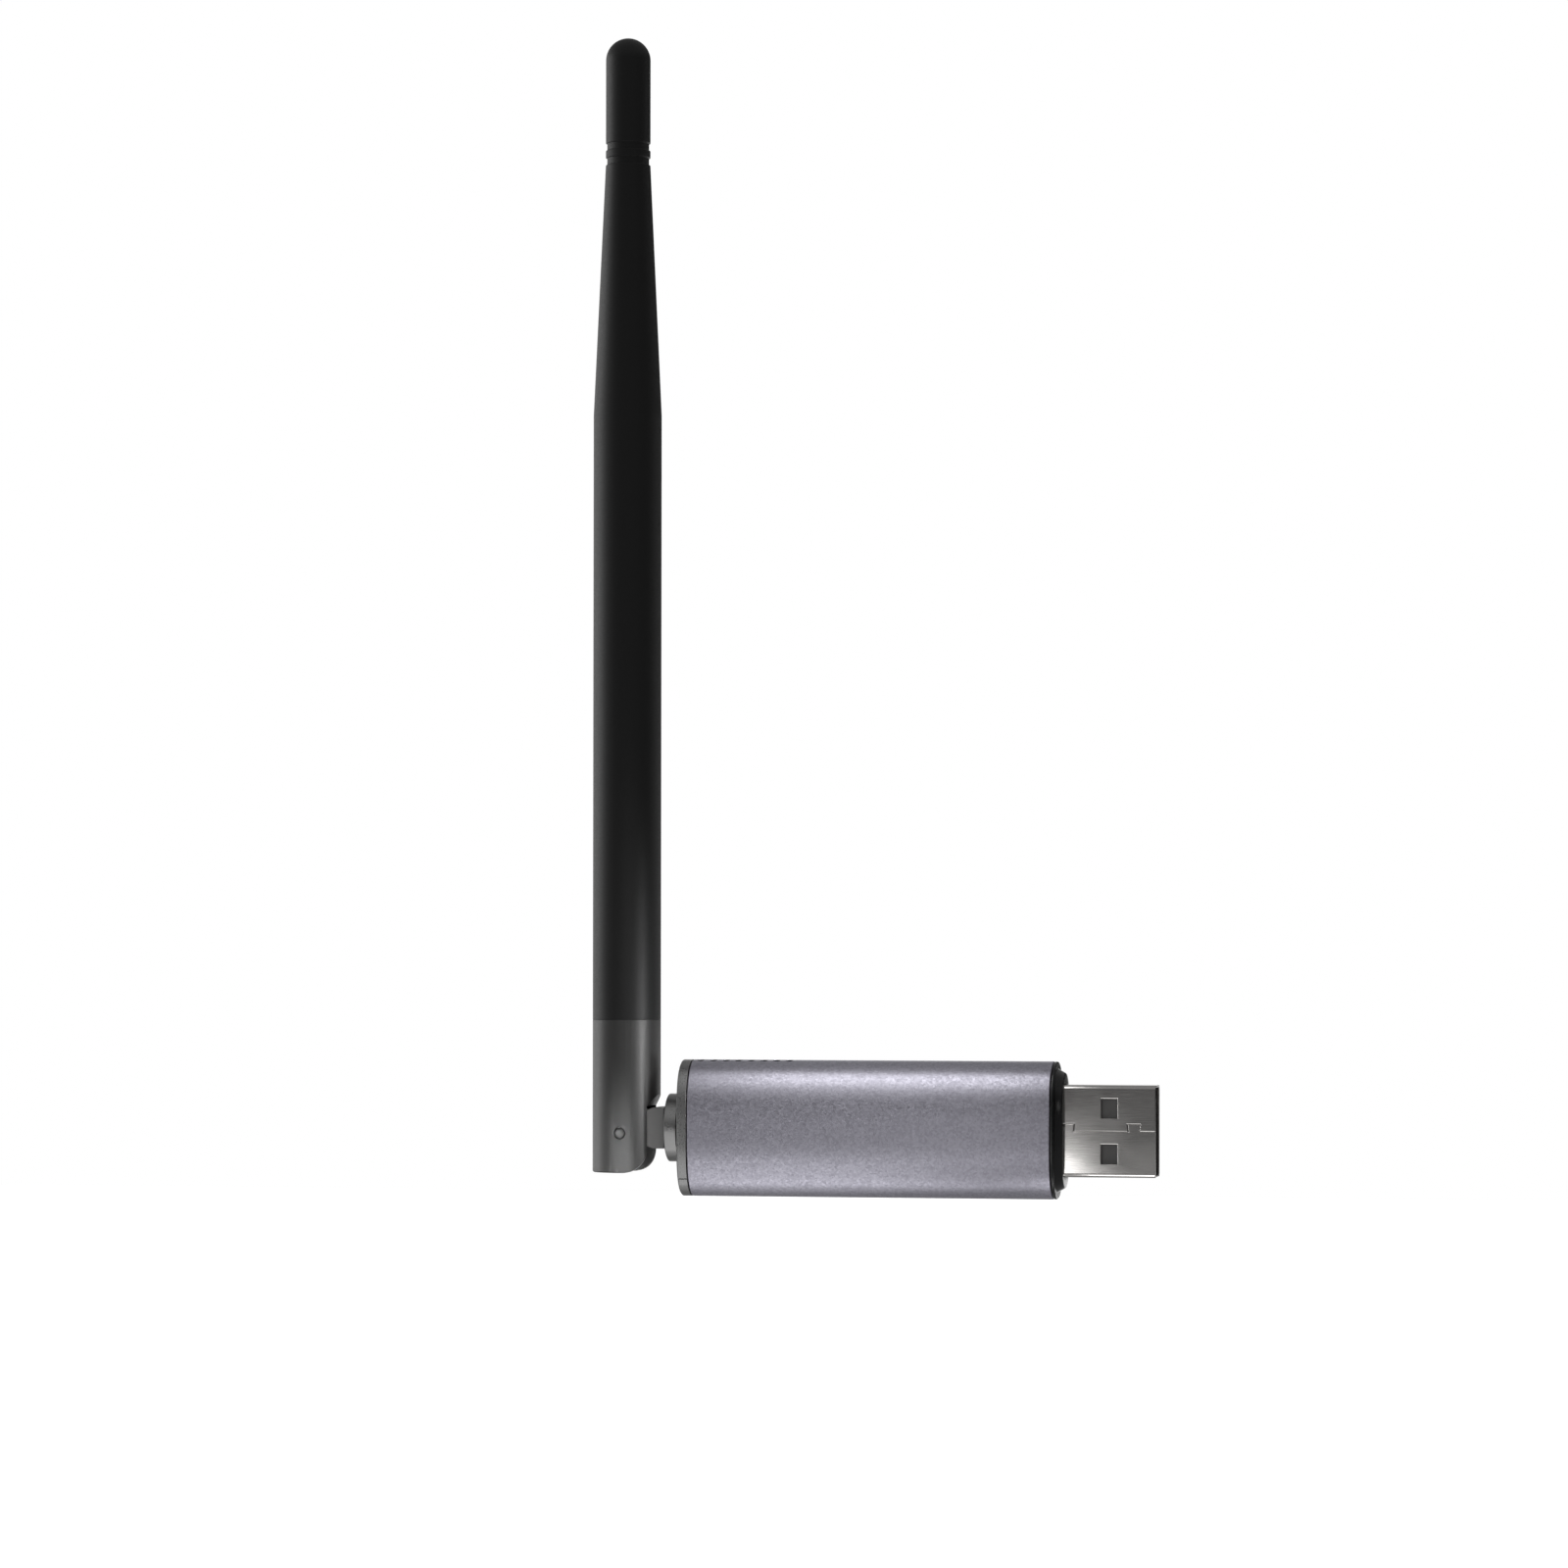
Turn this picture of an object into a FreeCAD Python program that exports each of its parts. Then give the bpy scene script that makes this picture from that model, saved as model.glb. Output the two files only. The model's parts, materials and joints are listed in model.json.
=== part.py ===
import FreeCAD, Part
import math
import os
import Sketcher

# A radio stick: a flat metal housing with a plug at one end and a hinged antenna at the other.
# X runs along the stick towards the plug's tip, Z runs up the antenna, and -Y is the near side.
# The origin is the middle of the shoulder that the plug stands on.
# The antenna stands upright, bent by 90 degrees at its pivot.

# Driving dimensions in millimetres, and counts
SIZES = {
    # Housing, a rounded tube with guides for the board
    "tube_length": 47.9,
    "tube_height": 18.0,
    "tube_depth": 10.0,
    "tube_wall": 0.9,
    "tube_edge": 0.12,
    "guide_reach": 1.2,
    "guide_width": 0.7,
    "vent_diameter": 1.0,
    "vent_pitch": 1.69,
    "vent_margin": 1.1,
    "vent_offset": 0.85,
    "vent_count": 8,
    # End caps, each with a spigot inside the housing
    "front_flange": 0.5,
    "front_rim": 0.3,
    "boss_height": 1.0,
    "boss_inset": 1.0,
    "boss_end_slope": 0.5,
    "boss_side_slope": 0.3,
    "rear_flange": 1.4,
    "rear_rim": 0.35,
    "spigot_length": 3.5,
    "spigot_play": 0.1,
    "spigot_inset": 0.6,
    "parting_rise": 2.4,
    "parting_groove": 0.12,
    # Plug
    "plug_reach": 12.0,
    "plug_width": 12.0,
    "plug_depth": 4.5,
    "plug_sheet": 0.3,
    "plug_corner": 0.6,
    "plug_tail": 6.0,
    "plug_play": 0.04,
    "latch_length": 2.1,
    "latch_width": 2.55,
    "latch_spacing": 5.92,
    "latch_from_tip": 5.0,
    "seam_gap": 0.08,
    "seam_tab_width": 1.4,
    "seam_tab_height": 0.95,
    "seam_tab_flare": 0.12,
    "seam_tab_from_tip": 2.0,
    "leg_length": 3.0,
    "leg_below": 0.6,
    "leg_above": 0.5,
    "tongue_play": 0.03,
    "tongue_thickness": 1.84,
    "tongue_from_tip": 0.4,
    "tongue_block_front": 0.25,
    "tongue_block_tail": 0.5,
    "contact_width": 1.0,
    "contact_sheet": 0.25,
    "contact_inner_pitch": 2.0,
    "contact_outer_pitch": 7.0,
    "contact_power_reach": 10.6,
    "contact_data_reach": 9.6,
    "contact_tail": 1.7,
    "contact_bend": 4.0,
    # Board and what is soldered to it
    "board_face": 0.4,
    "board_thickness": 1.0,
    "board_inset": 0.6,
    "board_play": 0.05,
    "board_gap": 0.1,
    "module_length": 14.0,
    "module_height": 12.0,
    "module_thickness": 0.8,
    "module_gap": 0.8,
    "can_length": 11.0,
    "can_height": 10.5,
    "can_depth": 2.0,
    "can_wall": 0.2,
    "radio_chip_side": 5.0,
    "radio_chip_depth": 0.85,
    "bridge_side": 5.0,
    "bridge_depth": 0.9,
    "bridge_middle": 14.0,
    "regulator_length": 1.6,
    "regulator_height": 2.9,
    "regulator_depth": 1.1,
    "regulator_x": 11.5,
    "regulator_margin": 1.15,
    "regulator_lead": 0.6,
    "crystal_length": 3.2,
    "crystal_height": 2.5,
    "crystal_depth": 0.8,
    "crystal_x": 14.5,
    "crystal_margin": 1.35,
    "capacitor_length": 1.6,
    "capacitor_height": 0.8,
    "capacitor_count": 6,
    "capacitor_margin": 1.2,
    "capacitor_x": 19.5,
    # Coaxial socket on the board's rear edge
    "jack_block": 6.35,
    "jack_block_length": 1.65,
    "jack_leg_length": 4.75,
    "jack_leg_side": 1.0,
    "jack_leg_spacing": 4.6,
    "jack_barrel": 6.35,
    "jack_barrel_length": 6.9,
    "jack_socket": 4.6,
    "jack_socket_depth": 2.8,
    "jack_insulator": 4.1,
    "jack_contact": 1.27,
    "jack_contact_tail": 0.76,
    "jack_contact_reach": 1.8,
    "jack_contact_depth": 3.3,
    "solder_play": 0.05,
    # Coupling nut
    "nut_gap": 0.1,
    "nut_flange": 1.9,
    "nut_diameter": 9.0,
    "nut_rim": 0.3,
    "nut_collar": 1.0,
    "nut_sleeve": 7.2,
    "nut_sleeve_length": 6.0,
    "nut_sleeve_play": 0.15,
    "nut_thread_play": 0.075,
    # Swivel neck and its coaxial plug
    "pivot_reach": 5.7,
    "pivot_drop": 0.7,
    "neck_gap": 0.1,
    "neck_height": 5.4,
    "neck_width": 5.7,
    "neck_block_length": 1.45,
    "neck_slant": 0.7,
    "tongue_height": 4.8,
    "shank_diameter": 5.0,
    "shank_play": 0.1,
    "shank_sleeve": 4.4,
    "shank_sleeve_bore": 3.9,
    "shank_sleeve_length": 2.8,
    "ring_thickness": 0.4,
    "ring_play": 0.05,
    "ring_outer": 6.2,
    "ring_inner": 4.3,
    "ring_opening": 40.0,
    "gasket_thickness": 0.3,
    "gasket_outer": 6.2,
    "gasket_inner": 4.5,
    "centre_pin": 0.9,
    "centre_pin_reach": 2.4,
    "centre_pin_play": 0.02,
    "cable_diameter": 1.8,
    "cable_play": 0.1,
    "cable_bend": 1.5,
    "channel_length": 3.0,
    # Antenna yoke and its pivot
    "antenna_diameter": 9.0,
    "yoke_drop": 5.2,
    "yoke_height": 20.1,
    "yoke_edge": 0.15,
    "yoke_spigot": 6.0,
    "yoke_spigot_play": 0.1,
    "yoke_slot": 6.0,
    "yoke_back": 2.9,
    "yoke_ceiling": 3.55,
    "yoke_mouth_x": 3.35,
    "yoke_mouth_width": 1.25,
    "yoke_mouth_rise": 1.75,
    "yoke_ear_round": 3.0,
    "pivot_pin": 1.5,
    "pivot_pin_fit": 0.01,
    "pivot_pin_play": 0.05,
    # Antenna cover
    "cover_length": 149.8,
    "cover_taper": 33.1,
    "tip_length": 16.8,
    "cover_wall": 0.8,
    "tip_diameter": 5.9,
    "tip_groove": 0.95,
    "tip_land": 0.97,
    "tip_groove_depth": 0.18,
    "tip_wall": 4.0,
    # Radiator
    "sleeve_start": 24.0,
    "sleeve_length": 26.0,
    "sleeve_diameter": 4.4,
    "sleeve_wall": 0.2,
    "sleeve_cap": 0.5,
    "rod_diameter": 1.0,
    "rod_length": 31.0,
    "spacer_length": 4.0,
    "spacer_play": 0.1,
    "spacer_margin": 4.0,
}

TINY = 0.001
NEAR = 0.01

doc = FreeCAD.newDocument("radio_stick")
sheet = doc.addObject("Spreadsheet::Sheet", "Sizes")
for row, (alias, number) in enumerate(SIZES.items(), 1):
    sheet.set("A%d" % row, alias)
    sheet.set("B%d" % row, str(number))
    sheet.setAlias("B%d" % row, alias)
doc.recompute()


class Size:
    """A number together with the sheet expression that gives it."""

    def __init__(self, value, text):
        self.value = value
        self.text = text

    def __add__(self, other):
        return joined(self, "+", other, self.value + as_size(other).value)

    def __sub__(self, other):
        return joined(self, "-", other, self.value - as_size(other).value)

    def __mul__(self, other):
        return joined(self, "*", other, self.value * as_size(other).value)

    def __truediv__(self, other):
        return joined(self, "/", other, self.value / as_size(other).value)

    def __neg__(self):
        return joined(0, "-", self, -self.value)


def as_size(number):
    if isinstance(number, Size):
        return number
    return Size(float(number), str(float(number)))


def joined(first, sign, second, value):
    return Size(value, "(%s %s %s)" % (as_size(first).text, sign, as_size(second).text))


def root(size):
    return Size(math.sqrt(size.value), "sqrt(%s)" % size.text)


class Sheet:
    """The sheet's cells, each read as a Size by its alias."""

    def __getattr__(self, alias):
        return Size(float(sheet.get(alias)), "Sizes." + alias)


S = Sheet()
ZERO = as_size(0)
FINISHED = []


def bind(target, prop, size):
    """Ties a property to the sheet."""
    target.setExpression(prop, as_size(size).text)


def place(target, x=ZERO, y=ZERO, z=ZERO):
    """Ties an object's position to the sheet."""
    for letter, size in (("x", x), ("y", y), ("z", z)):
        bind(target, "Placement.Base." + letter, size)


def new_body(label):
    body = doc.addObject("PartDesign::Body", label)
    body.Label = label
    FINISHED.append(body)
    return body


def origin_feature(body, role):
    return [item for item in body.Origin.OriginFeatures if item.Role == role][0]


def sketch_on(body, name, plane, offset=ZERO):
    """A sketch on one of the body's own origin planes, moved along the plane's normal."""
    sketch = body.newObject("Sketcher::SketchObject", name)
    sketch.AttachmentSupport = [(origin_feature(body, plane), "")]
    sketch.MapMode = "FlatFace"
    bind(sketch, "AttachmentOffset.Base.z", offset)
    return sketch


def hold(sketch, geometry, point, kind, size):
    """Fixes one coordinate of a point, counted from the sketch's origin."""
    size = as_size(size)
    if size.value == 0:
        axis = -2 if kind == "DistanceX" else -1
        sketch.addConstraint(Sketcher.Constraint("PointOnObject", geometry, point, axis))
        return
    index = sketch.addConstraint(Sketcher.Constraint(kind, -1, 1, geometry, point, size.value))
    sketch.setExpression("Constraints[%d]" % index, size.text)


def flat_vector(x, y):
    return FreeCAD.Vector(as_size(x).value, as_size(y).value, 0)


def draw_side(sketch, before, corner):
    """Draws one side of an outline and returns its number with its two end points in order."""
    start = flat_vector(before[0], before[1])
    end = flat_vector(corner[0], corner[1])
    if len(corner) == 2:
        return sketch.addGeometry(Part.LineSegment(start, end), False), 1, 2
    centre = flat_vector(corner[2], corner[3])
    turn = corner[4]
    first, last = (start, end) if turn > 0 else (end, start)
    angles = [math.atan2(point.y - centre.y, point.x - centre.x) for point in (first, last)]
    circle = Part.Circle(centre, FreeCAD.Vector(0, 0, 1), (start - centre).Length)
    number = sketch.addGeometry(Part.ArcOfCircle(circle, angles[0], angles[1]), False)
    chord = end - start
    if abs(chord.x) >= abs(chord.y):
        hold(sketch, number, 3, "DistanceY", corner[3])
    else:
        hold(sketch, number, 3, "DistanceX", corner[2])
    return (number, 1, 2) if turn > 0 else (number, 2, 1)


def draw_path(sketch, path, closed=True):
    """Draws an outline. A corner is (x, y) at the end of a straight side, or
    (x, y, centre x, centre y, turn) at the end of an arc, with a turn of 1 anticlockwise
    and -1 clockwise. The first corner ends the side that closes the outline."""
    corners = path if closed else path[1:]
    befores = [path[-1]] + path[:-1] if closed else path[:-1]
    sides = [draw_side(sketch, before, corner) for before, corner in zip(befores, corners)]
    if not closed:
        hold(sketch, sides[0][0], sides[0][1], "DistanceX", path[0][0])
        hold(sketch, sides[0][0], sides[0][1], "DistanceY", path[0][1])
    for index, (number, _, end) in enumerate(sides):
        hold(sketch, number, end, "DistanceX", corners[index][0])
        hold(sketch, number, end, "DistanceY", corners[index][1])
        if closed or index + 1 < len(sides):
            following = sides[(index + 1) % len(sides)]
            joint = Sketcher.Constraint("Coincident", number, end, following[0], following[1])
            sketch.addConstraint(joint)


def draw_box(sketch, x_low, y_low, x_high, y_high):
    draw_path(sketch, [(x_low, y_low), (x_high, y_low), (x_high, y_high), (x_low, y_high)])


def draw_circle(sketch, x, y, diameter):
    circle = Part.Circle(flat_vector(x, y), FreeCAD.Vector(0, 0, 1), diameter.value / 2)
    number = sketch.addGeometry(circle, False)
    hold(sketch, number, 3, "DistanceX", x)
    hold(sketch, number, 3, "DistanceY", y)
    index = sketch.addConstraint(Sketcher.Constraint("Diameter", number, diameter.value))
    sketch.setExpression("Constraints[%d]" % index, diameter.text)


def draw_stadium(sketch, depth, height):
    """A section with fully rounded ends, its long side along the sketch's second axis."""
    side = depth / 2
    centre = (height - depth) / 2
    draw_path(sketch, [
        (side, -centre, 0, -centre, 1),
        (side, centre),
        (-side, centre, 0, centre, 1),
        (-side, -centre),
    ])


def draw_rounded_box(sketch, width, height, corner):
    """A box about the sketch's origin with its corners rounded."""
    x = width / 2
    y = height / 2
    draw_path(sketch, [
        (x - corner, -y),
        (x, corner - y, x - corner, corner - y, 1),
        (x, y - corner),
        (x - corner, y, x - corner, y - corner, 1),
        (corner - x, y),
        (-x, y - corner, corner - x, y - corner, 1),
        (-x, corner - y),
        (corner - x, -y, corner - x, corner - y, 1),
    ])


def solid_feature(body, kind, name, sketch):
    feature = body.newObject("PartDesign::" + kind, name)
    feature.Profile = sketch
    return feature


def pad(body, name, sketch, length, reverse=False, symmetric=False):
    feature = solid_feature(body, "Pad", name, sketch)
    bind(feature, "Length", length)
    feature.Reversed = reverse
    feature.SideType = "Symmetric" if symmetric else "One side"
    doc.recompute()
    return feature


def check_cut(body, volume):
    """A cut that removes nothing points away from the solid."""
    doc.recompute()
    if body.Shape.Volume > volume - TINY * TINY:
        raise RuntimeError("a cut in %s removes nothing" % body.Label)


def pocket(body, name, sketch, length, reverse=False, symmetric=False):
    volume = body.Shape.Volume
    feature = solid_feature(body, "Pocket", name, sketch)
    bind(feature, "Length", length)
    feature.Reversed = reverse
    feature.SideType = "Symmetric" if symmetric else "One side"
    check_cut(body, volume)
    return feature


def revolve(body, name, sketch, axis, angle=360):
    """Turns an outline about the sketch's own first or second axis."""
    feature = solid_feature(body, "Revolution", name, sketch)
    feature.ReferenceAxis = (sketch, [axis])
    feature.Angle = angle.value if isinstance(angle, Size) else angle
    if isinstance(angle, Size):
        bind(feature, "Angle", angle)
    doc.recompute()
    return feature


def rim_edges(shape, x):
    """Names of the edges of the housing's outer section in the plane at x."""
    names = []
    for number, edge in enumerate(shape.Edges, 1):
        middle = edge.valueAt((edge.FirstParameter + edge.LastParameter) / 2)
        flat = abs(edge.BoundBox.XMin - x.value) < NEAR and abs(edge.BoundBox.XMax - x.value) < NEAR
        from_core = math.hypot(middle.y, max(abs(middle.z) - arc_centre.value, 0))
        if flat and from_core > (S.tube_depth / 2).value - NEAR:
            names.append("Edge%d" % number)
    return names


def soften(body, name, size, edges):
    """A bevel along the named edges of the body's last feature."""
    base = body.Tip
    feature = body.newObject("PartDesign::Chamfer", name)
    feature.Base = (base, edges)
    bind(feature, "Size", size)
    doc.recompute()


# Places along X that the pieces share
tube_front = -(S.boss_height + S.front_flange)
tube_back = tube_front - S.tube_length
cap_back = tube_back - S.rear_flange
nut_face = cap_back - S.nut_gap - S.nut_flange
pivot_x = nut_face - S.pivot_reach
pivot_z = -S.pivot_drop
block_back = -(S.plug_tail + S.tongue_block_tail)
board_front = block_back - S.board_gap
barrel_end = cap_back + S.nut_gap
jack_back = barrel_end + S.jack_barrel_length
jack_front = jack_back + S.jack_block_length
board_back = jack_front + S.board_gap
module_middle = jack_front + S.jack_leg_length + S.module_gap + S.module_length / 2

# Inner section of the housing
inner_side = S.tube_depth / 2 - S.tube_wall
inner_top = S.tube_height / 2 - S.tube_wall
arc_centre = (S.tube_height - S.tube_depth) / 2
guide_tip = inner_top - S.guide_reach
board_half = inner_top - S.board_inset
regulator_z = board_half - S.regulator_margin - S.regulator_height / 2
crystal_z = board_half - S.crystal_margin - S.crystal_height / 2
guide_inner = (S.board_face - S.board_play, S.board_face + S.board_thickness + S.board_play)
guide_outer = (guide_inner[0] - S.guide_width, guide_inner[1] + S.guide_width)
rear_bore = S.nut_sleeve + S.nut_sleeve_play * 2


def wall_at(y):
    """Height of the inner wall's round end above the middle at a distance y."""
    return arc_centre + root(inner_side * inner_side - y * y)


def housing_tube():
    body = new_body("housing_tube")
    section = sketch_on(body, "tube_section", "YZ_Plane", tube_front)
    draw_stadium(section, S.tube_depth, S.tube_height)
    low_out, low_in = guide_outer[0], guide_inner[0]
    high_in, high_out = guide_inner[1], guide_outer[1]
    draw_path(section, [
        (inner_side, arc_centre),
        (high_out, wall_at(high_out), 0, arc_centre, 1),
        (high_out, guide_tip),
        (high_in, guide_tip),
        (high_in, wall_at(high_in)),
        (low_in, wall_at(low_in), 0, arc_centre, 1),
        (low_in, guide_tip),
        (low_out, guide_tip),
        (low_out, wall_at(low_out)),
        (-inner_side, arc_centre, 0, arc_centre, 1),
        (-inner_side, -arc_centre),
        (low_out, -wall_at(low_out), 0, -arc_centre, 1),
        (low_out, -guide_tip),
        (low_in, -guide_tip),
        (low_in, -wall_at(low_in)),
        (high_in, -wall_at(high_in), 0, -arc_centre, 1),
        (high_in, -guide_tip),
        (high_out, -guide_tip),
        (high_out, -wall_at(high_out)),
        (inner_side, -arc_centre, 0, -arc_centre, 1),
    ])
    pad(body, "tube_run", section, S.tube_length, reverse=True)
    for name, x in (("front_edge", tube_front), ("back_edge", tube_back)):
        soften(body, "tube_" + name, S.tube_edge, rim_edges(body.Shape, x))
    vent = sketch_on(body, "vent_outline", "XY_Plane", S.tube_height / 2)
    draw_circle(vent, tube_back + S.vent_margin, -S.vent_offset, S.vent_diameter)
    first = pocket(body, "vent_hole", vent, S.tube_wall * 2)
    volume = body.Shape.Volume
    row = body.newObject("PartDesign::LinearPattern", "vent_row")
    row.Originals = [first]
    row.Direction = (origin_feature(body, "X_Axis"), [""])
    bind(row, "Length", S.vent_pitch * (S.vent_count - 1))
    bind(row, "Occurrences", S.vent_count)
    body.Tip = row
    check_cut(body, volume)


def cap_spigot(body, name, start, reverse):
    """A plug inside the housing's end, notched where the card guides run."""
    side = inner_side - S.spigot_play
    half = inner_top - S.spigot_inset
    reach = root(side * side - (half - arc_centre) * (half - arc_centre))
    outline = sketch_on(body, name + "_outline", "YZ_Plane", start)
    draw_path(outline, [
        (side, -arc_centre, 0, -arc_centre, 1),
        (side, arc_centre),
        (reach, half, 0, arc_centre, 1),
        (-reach, half),
        (-side, arc_centre, 0, arc_centre, 1),
        (-side, -arc_centre),
        (-reach, -half, 0, -arc_centre, 1),
        (reach, -half),
    ])
    pad(body, name, outline, S.spigot_length, reverse=reverse)
    notches = sketch_on(body, name + "_notches", "YZ_Plane", start)
    low = guide_outer[0] - S.spigot_play
    high = guide_outer[1] + S.spigot_play
    floor = guide_tip - S.spigot_play
    draw_box(notches, low, floor, high, S.tube_height / 2)
    draw_box(notches, low, -S.tube_height / 2, high, -floor)
    pocket(body, name + "_guide_notch", notches, S.spigot_length, reverse=not reverse)


def rear_cap():
    body = new_body("rear_cap")
    section = sketch_on(body, "rear_section", "YZ_Plane", tube_back)
    draw_stadium(section, S.tube_depth, S.tube_height)
    pad(body, "rear_plate", section, S.rear_flange, reverse=True)
    soften(body, "rear_bevel", S.rear_rim, rim_edges(body.Shape, cap_back))
    cap_spigot(body, "rear_spigot", tube_back, False)
    bore = sketch_on(body, "nut_bore_outline", "YZ_Plane", cap_back)
    draw_circle(bore, ZERO, ZERO, rear_bore)
    pocket(body, "nut_bore", bore, S.rear_flange + S.spigot_length, reverse=True)
    drop = S.tube_height / 2 - S.parting_rise
    from_round = drop - arc_centre
    radius = S.tube_depth / 2
    side = root(radius * radius - from_round * from_round) - S.parting_groove
    groove = sketch_on(body, "parting_outline", "XY_Plane", -drop)
    draw_path(groove, [
        (tube_back, side),
        (cap_back + S.parting_groove, side),
        (cap_back + S.parting_groove, -side),
        (tube_back, -side),
        (tube_back, -S.tube_depth),
        (cap_back - S.rear_flange, -S.tube_depth),
        (cap_back - S.rear_flange, S.tube_depth),
        (tube_back, S.tube_depth),
    ])
    pocket(body, "parting_line", groove, S.parting_groove, symmetric=True)


def front_cap():
    body = new_body("front_cap")
    section = sketch_on(body, "front_section", "YZ_Plane", tube_front)
    draw_stadium(section, S.tube_depth, S.tube_height)
    pad(body, "front_plate", section, S.front_flange)
    soften(body, "front_bevel", S.front_rim, rim_edges(body.Shape, -S.boss_height))
    base = sketch_on(body, "boss_base", "YZ_Plane", -S.boss_height)
    depth = S.tube_depth - S.boss_inset * 2
    height = S.tube_height - S.boss_inset * 2
    draw_stadium(base, depth, height)
    face = sketch_on(body, "boss_face", "YZ_Plane")
    draw_stadium(face, depth - S.boss_side_slope * 2, height - S.boss_end_slope * 2)
    boss = body.newObject("PartDesign::AdditiveLoft", "boss")
    boss.Profile = base
    boss.Sections = [face]
    boss.Ruled = True
    doc.recompute()
    cap_spigot(body, "front_spigot", tube_front, True)
    window = sketch_on(body, "plug_window_outline", "YZ_Plane")
    play = S.plug_play * 2
    draw_rounded_box(window, S.plug_depth + play, S.plug_width + play, S.plug_corner + S.plug_play)
    pocket(body, "plug_window", window, S.boss_height + S.front_flange + S.spigot_length)


def seam_outline():
    """Closed outline of the open seam in the plug's sheet, with its two flared tabs."""
    half = S.seam_gap / 2
    tail = -(S.plug_tail + S.plug_sheet)
    tip = S.plug_reach + S.plug_sheet
    second = S.plug_reach - S.seam_tab_from_tip - S.seam_tab_width
    starts = (S.seam_tab_flare + half, second)
    above = [(tail, half)]
    below = [(tail, -half)]
    for start in starts:
        end = start + S.seam_tab_width
        above.append((start - half, half))
        above.append((start - half - S.seam_tab_flare, S.seam_tab_height + half))
        above.append((end + half + S.seam_tab_flare, S.seam_tab_height + half))
        above.append((end + half, half))
        below.append((start + half, -half))
        below.append((start + half - S.seam_tab_flare, S.seam_tab_height - half))
        below.append((end - half + S.seam_tab_flare, S.seam_tab_height - half))
        below.append((end - half, -half))
    above.append((tip, half))
    below.append((tip, -half))
    return below + above[::-1]


def usb_shell():
    body = new_body("usb_shell")
    section = sketch_on(body, "shell_section", "YZ_Plane", -S.plug_tail)
    draw_rounded_box(section, S.plug_depth, S.plug_width, S.plug_corner)
    inner = S.plug_sheet * 2
    draw_rounded_box(
        section, S.plug_depth - inner, S.plug_width - inner, S.plug_corner - S.plug_sheet
    )
    pad(body, "shell_tube", section, S.plug_tail + S.plug_reach)
    legs = sketch_on(body, "leg_outline", "YZ_Plane", -S.plug_tail)
    outer = S.plug_width / 2
    leg_low = S.board_face - S.leg_below
    leg_high = S.board_face + S.board_thickness + S.leg_above
    draw_box(legs, leg_low, outer - S.plug_sheet, leg_high, outer)
    draw_box(legs, leg_low, -outer, leg_high, S.plug_sheet - outer)
    pad(body, "board_legs", legs, S.leg_length, reverse=True)
    windows = sketch_on(body, "latch_outline", "XZ_Plane")
    front = S.plug_reach - S.latch_from_tip
    for side in (-1, 1):
        middle = S.latch_spacing * side / 2
        low = middle - S.latch_width / 2
        draw_box(windows, front - S.latch_length, low, front, middle + S.latch_width / 2)
    pocket(body, "latch_windows", windows, S.plug_depth * 2, symmetric=True)
    seam = sketch_on(body, "seam_outline", "XZ_Plane", S.plug_depth / 2)
    draw_path(seam, seam_outline())
    pocket(body, "seam", seam, S.plug_sheet * 1.5)


# The plug's insulator and its contacts
tongue_low = -(S.plug_depth / 2 - S.plug_sheet - S.tongue_play)
tongue_top = tongue_low + S.tongue_thickness
contact_low = tongue_top - S.contact_sheet
contact_offsets = (
    -S.contact_outer_pitch / 2,
    -S.contact_inner_pitch / 2,
    S.contact_inner_pitch / 2,
    S.contact_outer_pitch / 2,
)


def usb_tongue():
    body = new_body("usb_tongue")
    play = (S.plug_sheet + S.tongue_play) * 2
    block = sketch_on(body, "block_section", "YZ_Plane", block_back)
    corner = S.plug_corner - S.plug_sheet
    draw_rounded_box(block, S.plug_depth - play, S.plug_width - play, corner)
    pad(body, "block", block, S.tongue_block_front - block_back)
    blade = sketch_on(body, "blade_section", "YZ_Plane")
    half = (S.plug_width - play) / 2 - corner
    draw_box(blade, tongue_low, -half, tongue_top, half)
    pad(body, "blade", blade, S.plug_reach - S.tongue_from_tip)
    slots = sketch_on(body, "slot_outline", "YZ_Plane", S.contact_power_reach)
    for offset in contact_offsets:
        low = offset - S.contact_width / 2
        draw_box(slots, contact_low, low, S.board_face, offset + S.contact_width / 2)
    pocket(body, "contact_slots", slots, S.contact_power_reach - block_back)


def usb_contact(number, offset, reach):
    body = new_body("usb_contact_%d" % number)
    side = sketch_on(body, "contact_side_%d" % number, "XY_Plane")
    tail = board_front - S.contact_tail
    bend_end = -(S.contact_bend + S.board_face - tongue_top)
    draw_path(side, [
        (tail, S.board_face - S.contact_sheet),
        (bend_end, S.board_face - S.contact_sheet),
        (-S.contact_bend, contact_low),
        (reach, contact_low),
        (reach, tongue_top),
        (-S.contact_bend, tongue_top),
        (bend_end, S.board_face),
        (tail, S.board_face),
    ])
    pad(body, "contact_strip_%d" % number, side, S.contact_width, symmetric=True)
    place(body, z=offset)


def main_board():
    body = new_body("main_board")
    half = board_half
    outline = sketch_on(body, "board_outline", "XZ_Plane", -S.board_face)
    slot_in = S.plug_width / 2 - S.plug_sheet - S.board_gap
    slot_out = S.plug_width / 2 + S.board_gap
    slot_back = -(S.plug_tail + S.leg_length + S.board_gap)
    draw_path(outline, [
        (board_back, -half),
        (board_front, -half),
        (board_front, -slot_out),
        (slot_back, -slot_out),
        (slot_back, -slot_in),
        (board_front, -slot_in),
        (board_front, slot_in),
        (slot_back, slot_in),
        (slot_back, slot_out),
        (board_front, slot_out),
        (board_front, half),
        (board_back, half),
    ])
    pad(body, "board", outline, S.board_thickness, reverse=True)


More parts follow.
